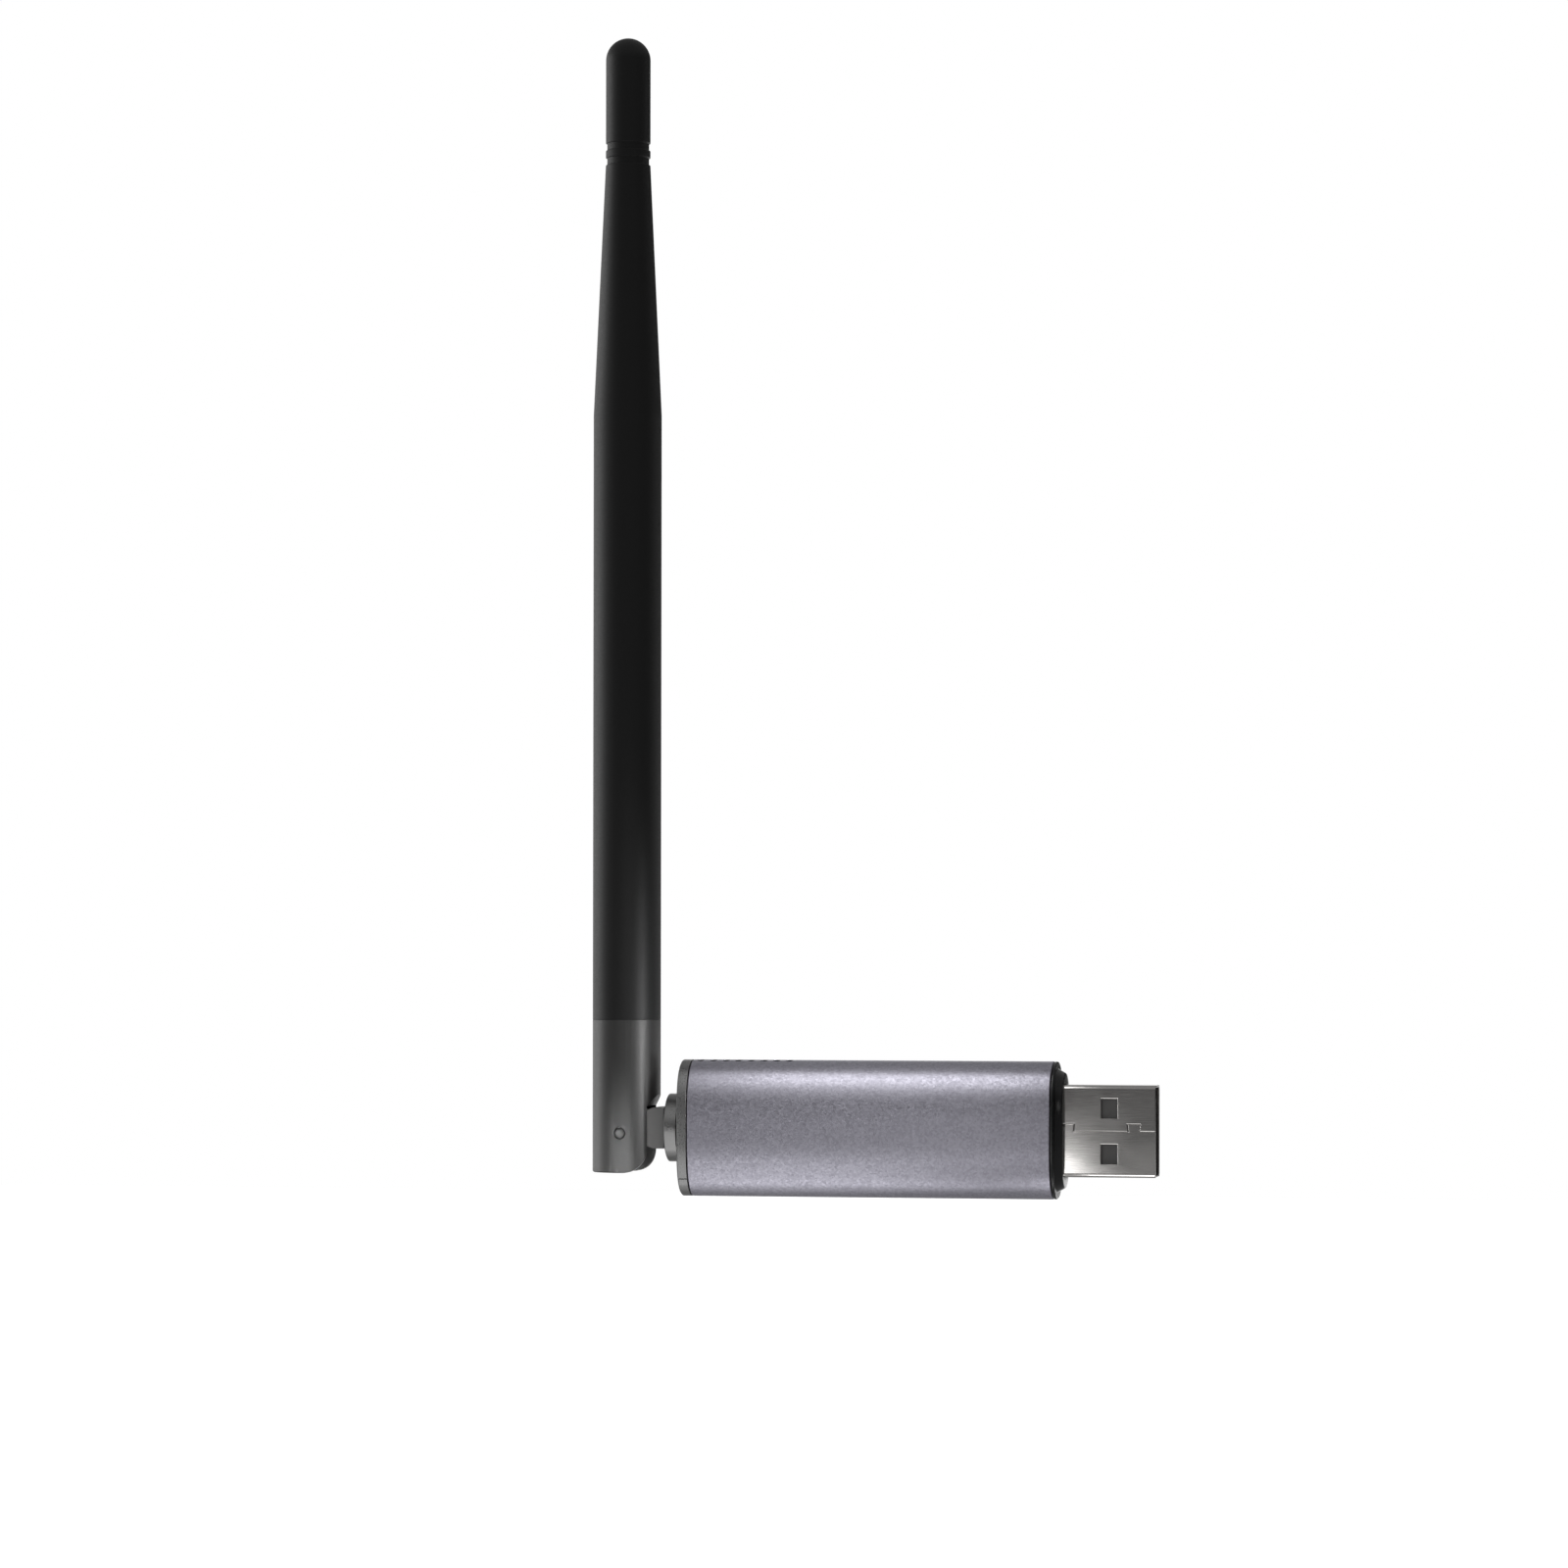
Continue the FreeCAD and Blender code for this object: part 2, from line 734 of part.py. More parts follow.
def chip(label, x, z, length, height, depth, base):
    """A moulded package with softened edges, standing on a face at y = base towards -Y."""
    body = new_body(label)
    foot = sketch_on(body, label + "_foot", "XZ_Plane", -base)
    draw_box(foot, x - length / 2, z - height / 2, x + length / 2, z + height / 2)
    pad(body, label + "_block", foot, depth)
    return body


def radio_shield_can(base):
    body = chip(
        "radio_shield_can", module_middle, ZERO, S.can_length, S.can_height, S.can_depth, base
    )
    hollow = sketch_on(body, "can_hollow_outline", "XZ_Plane", -base)
    half_length = S.can_length / 2 - S.can_wall
    half_height = S.can_height / 2 - S.can_wall
    x = module_middle
    draw_box(hollow, x - half_length, -half_height, x + half_length, half_height)
    pocket(body, "can_hollow", hollow, S.can_depth - S.can_wall, reverse=True)


def voltage_regulator():
    body = chip(
        "voltage_regulator", -S.regulator_x, regulator_z,
        S.regulator_length, S.regulator_height, S.regulator_depth, S.board_face,
    )
    leads = sketch_on(body, "regulator_leads_outline", "XZ_Plane", -S.board_face)
    half = S.regulator_length / 2
    pitch = S.regulator_height / 3
    width = S.regulator_lead / 2
    x = -S.regulator_x
    for side, step in ((-1, -1), (-1, 1), (1, 0)):
        z = regulator_z + pitch * step
        near = x + half * side
        far = x + (half + S.regulator_lead) * side
        low, high = (far, near) if side < 0 else (near, far)
        draw_box(leads, low, z - width / 2, high, z + width / 2)
    pad(body, "regulator_leads", leads, S.contact_sheet)


def chip_capacitors():
    """A row of small capacitors on the board's far face, separate solids that share one node."""
    blocks = []
    first = S.capacitor_margin - board_half
    pitch = -(first * 2 + S.capacitor_length) / (S.capacitor_count - 1)
    for index in range(int(S.capacitor_count.value)):
        block = doc.addObject("Part::Box", "capacitor_%d" % (index + 1))
        bind(block, "Length", S.capacitor_height)
        bind(block, "Width", S.capacitor_height)
        bind(block, "Height", S.capacitor_length)
        place(block, -S.capacitor_x, S.board_face + S.board_thickness, first + pitch * index)
        blocks.append(block)
    group = doc.addObject("Part::Compound", "chip_capacitors")
    group.Label = "chip_capacitors"
    group.Links = blocks
    FINISHED.append(group)


def antenna_jack_body():
    body = new_body("antenna_jack_body")
    block = sketch_on(body, "jack_block_section", "YZ_Plane", jack_back)
    half = S.jack_block / 2
    draw_box(block, -half, -half, half, half)
    pad(body, "jack_block", block, S.jack_block_length)
    barrel = sketch_on(body, "jack_barrel_section", "YZ_Plane", jack_back)
    draw_circle(barrel, ZERO, ZERO, S.jack_barrel)
    pad(body, "jack_barrel", barrel, S.jack_barrel_length, reverse=True)
    legs = sketch_on(body, "jack_legs_section", "YZ_Plane", jack_front)
    near = S.board_face - S.solder_play
    far = S.board_face + S.board_thickness + S.solder_play
    width = S.jack_leg_side / 2
    for side in (-1, 1):
        z = S.jack_leg_spacing * side / 2
        draw_box(legs, near - S.jack_leg_side, z - width, near, z + width)
        draw_box(legs, far, z - width, far + S.jack_leg_side, z + width)
    pad(body, "jack_legs", legs, S.jack_leg_length)
    socket = sketch_on(body, "jack_socket_section", "YZ_Plane", barrel_end)
    draw_circle(socket, ZERO, ZERO, S.jack_socket)
    pocket(body, "jack_socket", socket, S.jack_socket_depth, reverse=True)
    bore = sketch_on(body, "jack_bore_section", "YZ_Plane", barrel_end)
    draw_circle(bore, ZERO, ZERO, S.jack_insulator)
    pocket(body, "jack_bore", bore, jack_front - barrel_end, reverse=True)


def lathe(label, profile, axis, plane="XZ_Plane"):
    """A turned piece: a profile turned about the sketch's own axis."""
    body = new_body(label)
    outline = sketch_on(body, label + "_profile", plane)
    draw_path(outline, profile)
    revolve(body, label + "_turning", outline, axis)
    return body


def turned_ring(label, start, end, inner, outer):
    """A plain ring about the X axis, between two places along it."""
    profile = [(start, inner / 2), (end, inner / 2), (end, outer / 2), (start, outer / 2)]
    return lathe(label, profile, "H_Axis")


socket_floor = barrel_end + S.jack_socket_depth


def jack_contact():
    body = lathe("jack_contact", [
        (socket_floor, ZERO),
        (socket_floor, S.jack_contact / 2),
        (jack_front, S.jack_contact / 2),
        (jack_front, ZERO),
    ], "H_Axis")
    tail = sketch_on(body, "contact_tail_section", "YZ_Plane", jack_front)
    half = S.jack_contact_tail / 2
    draw_box(tail, -half, -half, half, half)
    pad(body, "contact_tail", tail, S.jack_contact_reach)
    bore = sketch_on(body, "contact_bore_section", "YZ_Plane", socket_floor)
    draw_circle(bore, ZERO, ZERO, S.centre_pin + S.centre_pin_play * 2)
    pocket(body, "contact_bore", bore, S.jack_contact_depth, reverse=True)


def coupling_nut():
    hole = S.shank_diameter / 2 + S.shank_play
    bore = S.jack_barrel / 2 + S.nut_thread_play
    sleeve = S.nut_sleeve / 2
    flange = S.nut_diameter / 2
    rim = S.nut_rim
    flange_back = nut_face + S.nut_flange
    sleeve_end = flange_back + S.nut_sleeve_length
    collar = nut_face + S.nut_collar
    lathe("coupling_nut", [
        (nut_face, hole),
        (nut_face, flange - rim),
        (nut_face + rim, flange),
        (flange_back, flange),
        (flange_back, sleeve),
        (sleeve_end, sleeve),
        (sleeve_end, bore),
        (collar, bore),
        (collar, hole),
    ], "H_Axis")


# Places along X that the neck's pieces share, counted from the pivot
neck_end = S.pivot_reach - S.neck_gap
ring_start = S.pivot_reach + S.nut_collar + S.ring_play
shank_face = barrel_end - S.gasket_thickness - pivot_x
sleeve_tip = shank_face + S.shank_sleeve_length
cable_end = shank_face - S.neck_gap * 2
cable_bore = S.cable_diameter + S.cable_play * 2


def swivel_neck():
    body = new_body("swivel_neck")
    thin = S.tongue_height / 2
    thick = S.neck_height / 2
    slant_end = neck_end - S.neck_block_length
    slant_start = slant_end - S.neck_slant
    side = sketch_on(body, "neck_side", "XZ_Plane")
    draw_path(side, [
        (ZERO, thin),
        (ZERO, -thin, 0, 0, 1),
        (slant_start, -thin),
        (slant_end, -thick),
        (neck_end, -thick),
        (neck_end, thick),
        (slant_end, thick),
        (slant_start, thin),
    ])
    pad(body, "neck_block", side, S.neck_width, symmetric=True)
    groove_end = ring_start + S.ring_thickness + S.ring_play
    shank = sketch_on(body, "shank_profile", "XZ_Plane")
    draw_path(shank, [
        (slant_end, ZERO),
        (slant_end, S.shank_diameter / 2),
        (ring_start, S.shank_diameter / 2),
        (ring_start, S.ring_inner / 2),
        (groove_end, S.ring_inner / 2),
        (groove_end, S.shank_diameter / 2),
        (shank_face, S.shank_diameter / 2),
        (shank_face, S.shank_sleeve / 2),
        (sleeve_tip, S.shank_sleeve / 2),
        (sleeve_tip, ZERO),
    ])
    revolve(body, "shank", shank, "H_Axis")
    socket = sketch_on(body, "shank_socket_section", "YZ_Plane", sleeve_tip)
    draw_circle(socket, ZERO, ZERO, S.shank_sleeve_bore)
    pocket(body, "shank_socket", socket, S.shank_sleeve_length)
    cable = sketch_on(body, "cable_bore_section", "YZ_Plane", sleeve_tip)
    draw_circle(cable, ZERO, ZERO, cable_bore)
    pocket(body, "cable_bore", cable, sleeve_tip)
    channel = sketch_on(body, "cable_channel_outline", "XZ_Plane")
    draw_box(channel, -S.tongue_height, -cable_bore / 2, S.channel_length, S.neck_height)
    pocket(body, "cable_channel", channel, cable_bore, symmetric=True)
    pin = sketch_on(body, "neck_pin_hole_outline", "XZ_Plane")
    draw_circle(pin, ZERO, pivot_z, S.pivot_pin + S.pivot_pin_play * 2)
    pocket(body, "neck_pin_hole", pin, S.neck_width * 2, symmetric=True)
    place(body, pivot_x)


def retaining_ring():
    """An open spring ring in the shank's groove."""
    body = new_body("retaining_ring")
    section = sketch_on(body, "ring_section", "XZ_Plane")
    inner = S.ring_inner / 2 + S.ring_play
    draw_box(section, ring_start, inner, ring_start + S.ring_thickness, S.ring_outer / 2)
    revolve(body, "ring_turning", section, "H_Axis", as_size(360) - S.ring_opening)
    place(body, pivot_x)


def hinge_coax():
    """The cable from the neck's bore, turned up through the pivot into the yoke in two half turns."""
    body = new_body("hinge_coax")
    path = sketch_on(body, "hinge_coax_path", "XZ_Plane")
    draw_path(path, [
        (cable_end, ZERO),
        (S.cable_bend, ZERO),
        (ZERO, S.cable_bend),
        (ZERO, pivot_z + S.yoke_ceiling),
    ], closed=False)
    section = sketch_on(body, "hinge_coax_section", "YZ_Plane", cable_end)
    draw_circle(section, ZERO, ZERO, S.cable_diameter)
    doc.recompute()
    pipe = body.newObject("PartDesign::AdditivePipe", "hinge_coax_run")
    pipe.Profile = section
    pipe.Spine = (path, ["Edge1", "Edge2", "Edge3"])
    pipe.Transition = "Right corner"
    doc.recompute()
    place(body, pivot_x)


def antenna_yoke():
    radius = S.antenna_diameter / 2
    bottom = -S.yoke_drop
    seam = bottom + S.yoke_height
    spigot = radius - S.cover_wall - S.yoke_spigot_play
    edge = S.yoke_edge
    body = lathe("antenna_yoke", [
        (ZERO, bottom),
        (radius - edge, bottom),
        (radius, bottom + edge),
        (radius, seam),
        (spigot, seam),
        (spigot, seam + S.yoke_spigot),
        (ZERO, seam + S.yoke_spigot),
    ], "V_Axis")
    reach = S.antenna_diameter
    slot = sketch_on(body, "yoke_slot_side", "XZ_Plane")
    draw_path(slot, [
        (-S.yoke_back, bottom - S.yoke_drop),
        (reach, bottom - S.yoke_drop),
        (reach, S.yoke_ceiling + S.yoke_mouth_rise * (reach - S.yoke_mouth_x) / S.yoke_mouth_width),
        (S.yoke_mouth_x, S.yoke_ceiling),
        (-S.yoke_back, S.yoke_ceiling),
    ])
    pocket(body, "yoke_slot", slot, S.yoke_slot, symmetric=True)
    half_slot = S.yoke_slot / 2
    ear_edge = root(radius * radius - half_slot * half_slot)
    turn = S.yoke_ear_round
    corner = sketch_on(body, "ear_corner_outline", "XZ_Plane")
    draw_path(corner, [
        (ear_edge - turn, bottom, ear_edge - turn, bottom + turn, -1),
        (ear_edge - turn, bottom - turn),
        (reach, bottom - turn),
        (reach, bottom + turn),
        (ear_edge, bottom + turn),
    ])
    pocket(body, "ear_corners", corner, S.antenna_diameter * 2, symmetric=True)
    pin = sketch_on(body, "yoke_pin_hole_outline", "XZ_Plane")
    draw_circle(pin, ZERO, ZERO, S.pivot_pin + S.pivot_pin_fit * 2)
    pocket(body, "yoke_pin_holes", pin, S.antenna_diameter * 2, symmetric=True)
    bore = sketch_on(body, "yoke_bore_section", "XY_Plane", seam + S.yoke_spigot)
    draw_circle(bore, ZERO, ZERO, cable_bore)
    pocket(body, "yoke_bore", bore, seam + S.yoke_spigot)
    place(body, pivot_x, ZERO, pivot_z)


def hinge_pin(label, turn):
    """A short pin from the yoke's outside to the cable's channel."""
    head = S.antenna_diameter / 2 - S.pivot_pin_play
    inner = cable_bore / 2 + S.pivot_pin_play
    body = lathe(label, [
        (ZERO, inner),
        (S.pivot_pin / 2, inner),
        (S.pivot_pin / 2, head),
        (ZERO, head),
    ], "V_Axis", "XY_Plane")
    body.Placement.Rotation = FreeCAD.Rotation(FreeCAD.Vector(0, 0, 1), turn)
    place(body, pivot_x, ZERO, pivot_z)


# Places up the antenna, counted from the pivot
cover_foot = S.yoke_height - S.yoke_drop
cover_top = S.cover_length - S.yoke_drop


def antenna_radome():
    radius = S.antenna_diameter / 2
    tip = S.tip_diameter / 2
    low = tip - S.tip_groove_depth
    bore = radius - S.cover_wall
    tip_bore = tip - S.cover_wall
    first = cover_top - S.tip_length
    shoulder = first - S.cover_taper
    second = first + S.tip_groove + S.tip_land
    body = lathe("antenna_radome", [
        (bore, cover_foot),
        (radius, cover_foot),
        (radius, shoulder),
        (tip, first),
        (low, first),
        (low, first + S.tip_groove),
        (tip, first + S.tip_groove),
        (tip, second),
        (low, second),
        (low, second + S.tip_groove),
        (tip, second + S.tip_groove),
        (tip, cover_top - tip),
        (ZERO, cover_top, 0, cover_top - tip, 1),
        (ZERO, cover_top - S.tip_wall),
        (tip_bore, cover_top - S.tip_wall),
        (tip_bore, shoulder),
        (bore, shoulder),
    ], "V_Axis")
    place(body, pivot_x, ZERO, pivot_z)


def cylinder(label, diameter, foot, height):
    """A plain upright cylinder on the antenna's axis."""
    solid = doc.addObject("Part::Cylinder", label)
    solid.Label = label
    bind(solid, "Radius", diameter / 2)
    bind(solid, "Height", height)
    place(solid, pivot_x, ZERO, pivot_z + foot)
    return solid


def upright_ring(label, inner, outer, foot, height):
    """A ring on the antenna's axis, cut from two cylinders."""
    ring = doc.addObject("Part::Cut", label)
    ring.Base = cylinder(label + "_outside", outer, foot, height)
    ring.Tool = cylinder(label + "_hole", inner, foot, height)
    ring.Label = label
    FINISHED.append(ring)


# Places of the radiator's pieces, counted from the pivot
sleeve_top = S.sleeve_start + S.sleeve_length
rod_top = sleeve_top + S.rod_length
cover_bore = S.antenna_diameter - S.cover_wall * 2 - S.spacer_play * 2


def choke_sleeve():
    """A brass tube round the cable, closed at its top where it is soldered on."""
    body = lathe("choke_sleeve", [
        (S.cable_diameter / 2 + S.board_play, sleeve_top - S.sleeve_cap),
        (S.sleeve_diameter / 2 - S.sleeve_wall, sleeve_top - S.sleeve_cap),
        (S.sleeve_diameter / 2 - S.sleeve_wall, S.sleeve_start),
        (S.sleeve_diameter / 2, S.sleeve_start),
        (S.sleeve_diameter / 2, sleeve_top),
        (S.cable_diameter / 2 + S.board_play, sleeve_top),
    ], "V_Axis")
    place(body, pivot_x, ZERO, pivot_z)


def build():
    housing_tube()
    rear_cap()
    front_cap()
    usb_shell()
    usb_tongue()
    reaches = (
        S.contact_power_reach, S.contact_data_reach, S.contact_data_reach, S.contact_power_reach
    )
    for number, (offset, reach) in enumerate(zip(contact_offsets, reaches), 1):
        usb_contact(number, offset, reach)
    main_board()
    module_face = S.board_face - S.module_thickness
    chip(
        "radio_module_board", module_middle, ZERO,
        S.module_length, S.module_height, S.module_thickness, S.board_face,
    )
    radio_shield_can(module_face)
    chip(
        "radio_chip", module_middle, ZERO,
        S.radio_chip_side, S.radio_chip_side, S.radio_chip_depth, module_face,
    )
    chip(
        "usb_bridge_chip", -S.bridge_middle, ZERO,
        S.bridge_side, S.bridge_side, S.bridge_depth, S.board_face,
    )
    voltage_regulator()
    chip(
        "crystal", -S.crystal_x, -crystal_z,
        S.crystal_length, S.crystal_height, S.crystal_depth, S.board_face,
    )
    chip_capacitors()
    antenna_jack_body()
    turned_ring("jack_insulator", socket_floor, jack_front, S.jack_contact, S.jack_insulator)
    jack_contact()
    coupling_nut()
    swivel_neck()
    retaining_ring()
    gasket = turned_ring(
        "gasket", shank_face, shank_face + S.gasket_thickness, S.gasket_inner, S.gasket_outer
    )
    place(gasket, pivot_x)
    insulator = turned_ring(
        "plug_insulator", shank_face, sleeve_tip, S.centre_pin, S.shank_sleeve_bore
    )
    place(insulator, pivot_x)
    pin = lathe("plug_centre_pin", [
        (cable_end, ZERO),
        (cable_end, S.centre_pin / 2),
        (sleeve_tip + S.centre_pin_reach, S.centre_pin / 2),
        (sleeve_tip + S.centre_pin_reach, ZERO),
    ], "H_Axis")
    place(pin, pivot_x)
    hinge_coax()
    antenna_yoke()
    hinge_pin("hinge_pin_front", 180)
    hinge_pin("hinge_pin_back", 0)
    antenna_radome()
    FINISHED.append(
        cylinder("antenna_coax", S.cable_diameter, S.yoke_ceiling, sleeve_top - S.yoke_ceiling)
    )
    choke_sleeve()
    FINISHED.append(cylinder("radiator_rod", S.rod_diameter, sleeve_top, S.rod_length))
    upright_ring(
        "foam_spacer", S.rod_diameter, cover_bore,
        rod_top - S.spacer_margin - S.spacer_length, S.spacer_length,
    )


def check():
    """Stops when an object failed or a piece has no sound solid."""
    for item in doc.Objects:
        if "Invalid" in item.State or "Error" in item.State:
            raise RuntimeError("%s failed: %s" % (item.Label, item.State))
    for item in FINISHED:
        if item.Shape.isNull() or not item.Shape.isValid() or not item.Shape.Solids:
            raise RuntimeError("%s has no sound solid" % item.Label)


build()
doc.recompute()
check()
os.makedirs("parts", exist_ok=True)
for item in FINISHED:
    item.Shape.exportStep(os.path.join("parts", item.Label + ".step"))
    print("%-20s %10.3f mm3" % (item.Label, item.Shape.Volume))
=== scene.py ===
import json
import math

import bmesh
import bpy
from mathutils import Matrix, Vector


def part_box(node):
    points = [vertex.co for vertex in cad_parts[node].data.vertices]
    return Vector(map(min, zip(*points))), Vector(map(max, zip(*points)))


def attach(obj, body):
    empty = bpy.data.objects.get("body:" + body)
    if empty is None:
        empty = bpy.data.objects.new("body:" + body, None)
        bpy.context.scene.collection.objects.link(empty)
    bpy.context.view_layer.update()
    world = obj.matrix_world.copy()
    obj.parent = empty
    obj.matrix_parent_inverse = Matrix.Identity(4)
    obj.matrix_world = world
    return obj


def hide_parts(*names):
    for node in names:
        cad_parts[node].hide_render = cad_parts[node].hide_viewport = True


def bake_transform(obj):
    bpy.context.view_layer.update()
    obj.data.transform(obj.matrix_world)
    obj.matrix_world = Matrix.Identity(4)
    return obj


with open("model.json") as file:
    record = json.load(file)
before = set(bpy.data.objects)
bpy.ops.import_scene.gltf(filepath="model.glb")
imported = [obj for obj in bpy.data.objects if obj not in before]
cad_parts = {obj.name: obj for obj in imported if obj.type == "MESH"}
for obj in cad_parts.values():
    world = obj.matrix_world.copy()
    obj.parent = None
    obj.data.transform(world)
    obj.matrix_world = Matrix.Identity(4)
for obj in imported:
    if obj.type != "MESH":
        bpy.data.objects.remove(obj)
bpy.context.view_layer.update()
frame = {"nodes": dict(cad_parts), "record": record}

# The frame is the part's own: X along the stick to the plug's tip, Z up the antenna, -Y the near side.
MM = 0.001
IMAGE = 1600
SENSOR = 36.0

# Camera, fitted to the photograph's outlines
CAMERA_AZIMUTH = math.radians(10.54)
CAMERA_ROLL = math.radians(0.09)
CAMERA_DISTANCE = 707.6 * MM
CAMERA_AIM = Vector((-37.38, 0, 24.72)) * MM
FOCAL_PIXELS = 5491
HORIZON_PIXEL = 959.5

scene = bpy.context.scene


def collect(obj):
    scene.collection.objects.link(obj)
    return obj


# Camera, light and floor

def add_camera():
    data = bpy.data.cameras.new("camera")
    data.sensor_width = SENSOR
    data.lens = SENSOR * FOCAL_PIXELS / IMAGE
    data.shift_y = (HORIZON_PIXEL - IMAGE / 2) / IMAGE
    data.clip_start = 0.05
    data.clip_end = 20
    camera = collect(bpy.data.objects.new("camera", data))
    ahead = Vector((-math.sin(CAMERA_AZIMUTH), math.cos(CAMERA_AZIMUTH), 0))
    camera.location = CAMERA_AIM - ahead * CAMERA_DISTANCE
    camera.rotation_euler = (
        ahead.to_track_quat("-Z", "Y").to_matrix() @ Matrix.Rotation(CAMERA_ROLL, 3, "Z")
    ).to_euler()
    scene.camera = camera


def add_softbox(name, place, aim, width, height, radiance, beam):
    """A rectangular lamp that faces a point; radiance 1 along its beam looks white in a mirror."""
    data = bpy.data.lights.new(name, "AREA")
    data.shape = "RECTANGLE"
    data.size = width * MM
    data.size_y = height * MM
    half = math.radians(beam) / 2
    data.spread = half * 2
    narrowing = 1 if beam == 180 else 1 - half / math.tan(half)
    data.energy = radiance * narrowing * math.pi * data.size * data.size_y
    lamp = collect(bpy.data.objects.new(name, data))
    lamp.location = Vector(place) * MM
    lamp.rotation_euler = (Vector(aim) - Vector(place)).to_track_quat("-Z", "Y").to_euler()
    lamp.visible_camera = False
    lamp.visible_transmission = False


class Graph:
    """Short hands for building a node tree."""

    def __init__(self, tree):
        self.tree = tree
        tree.nodes.clear()

    def node(self, kind, **settings):
        made = self.tree.nodes.new(kind)
        for key, value in settings.items():
            setattr(made, key, value)
        return made

    def link(self, output, target):
        self.tree.links.new(output, target)

    def feed(self, target, value):
        if isinstance(value, bpy.types.NodeSocket):
            self.link(value, target)
        else:
            target.default_value = value

    def maths(self, operation, *values):
        made = self.node("ShaderNodeMath", operation=operation)
        for socket, value in zip(made.inputs, values):
            self.feed(socket, value)
        return made.outputs[0]

    def spread(self, value, low, high, to_low=0.0, to_high=1.0, smooth=False):
        made = self.node("ShaderNodeMapRange")
        made.interpolation_type = "SMOOTHSTEP" if smooth else "LINEAR"
        self.feed(made.inputs["Value"], value)
        self.feed(made.inputs["From Min"], low)
        self.feed(made.inputs["From Max"], high)
        self.feed(made.inputs["To Min"], to_low)
        self.feed(made.inputs["To Max"], to_high)
        return made.outputs["Result"]

    def noise(self, vector, size, detail=3.0):
        made = self.node("ShaderNodeTexNoise")
        self.feed(made.inputs["Vector"], vector)
        made.inputs["Scale"].default_value = 1 / size
        made.inputs["Detail"].default_value = detail
        made.inputs["Roughness"].default_value = 0.5
        return made.outputs["Fac"]

    def tint(self, factor, low, high):
        made = self.node("ShaderNodeMix", data_type="RGBA")
        self.feed(made.inputs["Factor"], factor)
        made.inputs["A"].default_value = (*low, 1)
        made.inputs["B"].default_value = (*high, 1)
        return made.outputs["Result"]


# The studio that shows in reflections: levels, and where one runs into the next. Turns are in degrees about
# the vertical, with 0 on the near side and 90 past the plug's tip.
STUDIO_FRONT = 0.10
STUDIO_TOP = 0.29
OVERHEAD_FADE = (0.15, 0.55)
LEFT_BACKDROP_FADE = (-110, -30)
REAR_BACKDROP_FADE = (176, 180)
FLAG_TURN = 115
FLAG_FADE = (50, 62)
FLAG_LEVEL = 0.2


def seen_directly(g, mirrored):
    """1 for rays from the camera or through glass, and for mirrored rays where mirrored is 1."""
    path = g.node("ShaderNodeLightPath")
    direct = g.maths("MAXIMUM", path.outputs["Is Camera Ray"], path.outputs["Is Transmission Ray"])
    return g.maths("MAXIMUM", direct, g.maths("MULTIPLY", path.outputs["Is Glossy Ray"], mirrored))


def add_world():
    """White behind whatever the camera sees; for reflections, a white backdrop behind and to the left,
    a dark flag on the right, and a dim studio in front and overhead."""
    world = bpy.data.worlds.new("studio")
    world.use_nodes = True
    scene.world = world
    g = Graph(world.node_tree)
    parts = g.node("ShaderNodeSeparateXYZ")
    g.link(g.node("ShaderNodeTexCoord").outputs["Generated"], parts.inputs[0])
    turn = g.maths("ARCTAN2", parts.outputs["X"], g.maths("MULTIPLY", parts.outputs["Y"], -1))
    left = g.spread(turn, *map(math.radians, LEFT_BACKDROP_FADE), 1, 0, smooth=True)
    rear = g.spread(turn, *map(math.radians, REAR_BACKDROP_FADE), smooth=True)
    top = g.spread(parts.outputs["Z"], *OVERHEAD_FADE, smooth=True)
    side = g.spread(g.maths("MAXIMUM", left, rear), 0, 1, STUDIO_FRONT, 1)
    off_flag = g.maths("ABSOLUTE", g.maths("SUBTRACT", turn, math.radians(FLAG_TURN)))
    flag = g.spread(off_flag, *map(math.radians, FLAG_FADE), FLAG_LEVEL, 1, smooth=True)
    level = g.node("ShaderNodeMix", data_type="FLOAT")
    g.link(top, level.inputs["Factor"])
    g.link(g.maths("MULTIPLY", side, flag), level.inputs["A"])
    level.inputs["B"].default_value = STUDIO_TOP
    final = g.node("ShaderNodeMix", data_type="FLOAT")
    g.link(seen_directly(g, rear), final.inputs["Factor"])
    g.link(level.outputs["Result"], final.inputs["A"])
    final.inputs["B"].default_value = 1.0
    back = g.node("ShaderNodeBackground")
    back.inputs["Color"].default_value = (1, 1, 1, 1)
    g.link(final.outputs["Result"], back.inputs["Strength"])
    g.link(back.outputs[0], g.node("ShaderNodeOutputWorld").inputs["Surface"])


# The floor's height, and how far back it turns from pale to pure white
FLOOR_HEIGHT = -200 * MM
FLOOR_SIZE = 8.0
FLOOR_FADE = (0.3, 0.8)
FLOOR_GLOW = 0.6


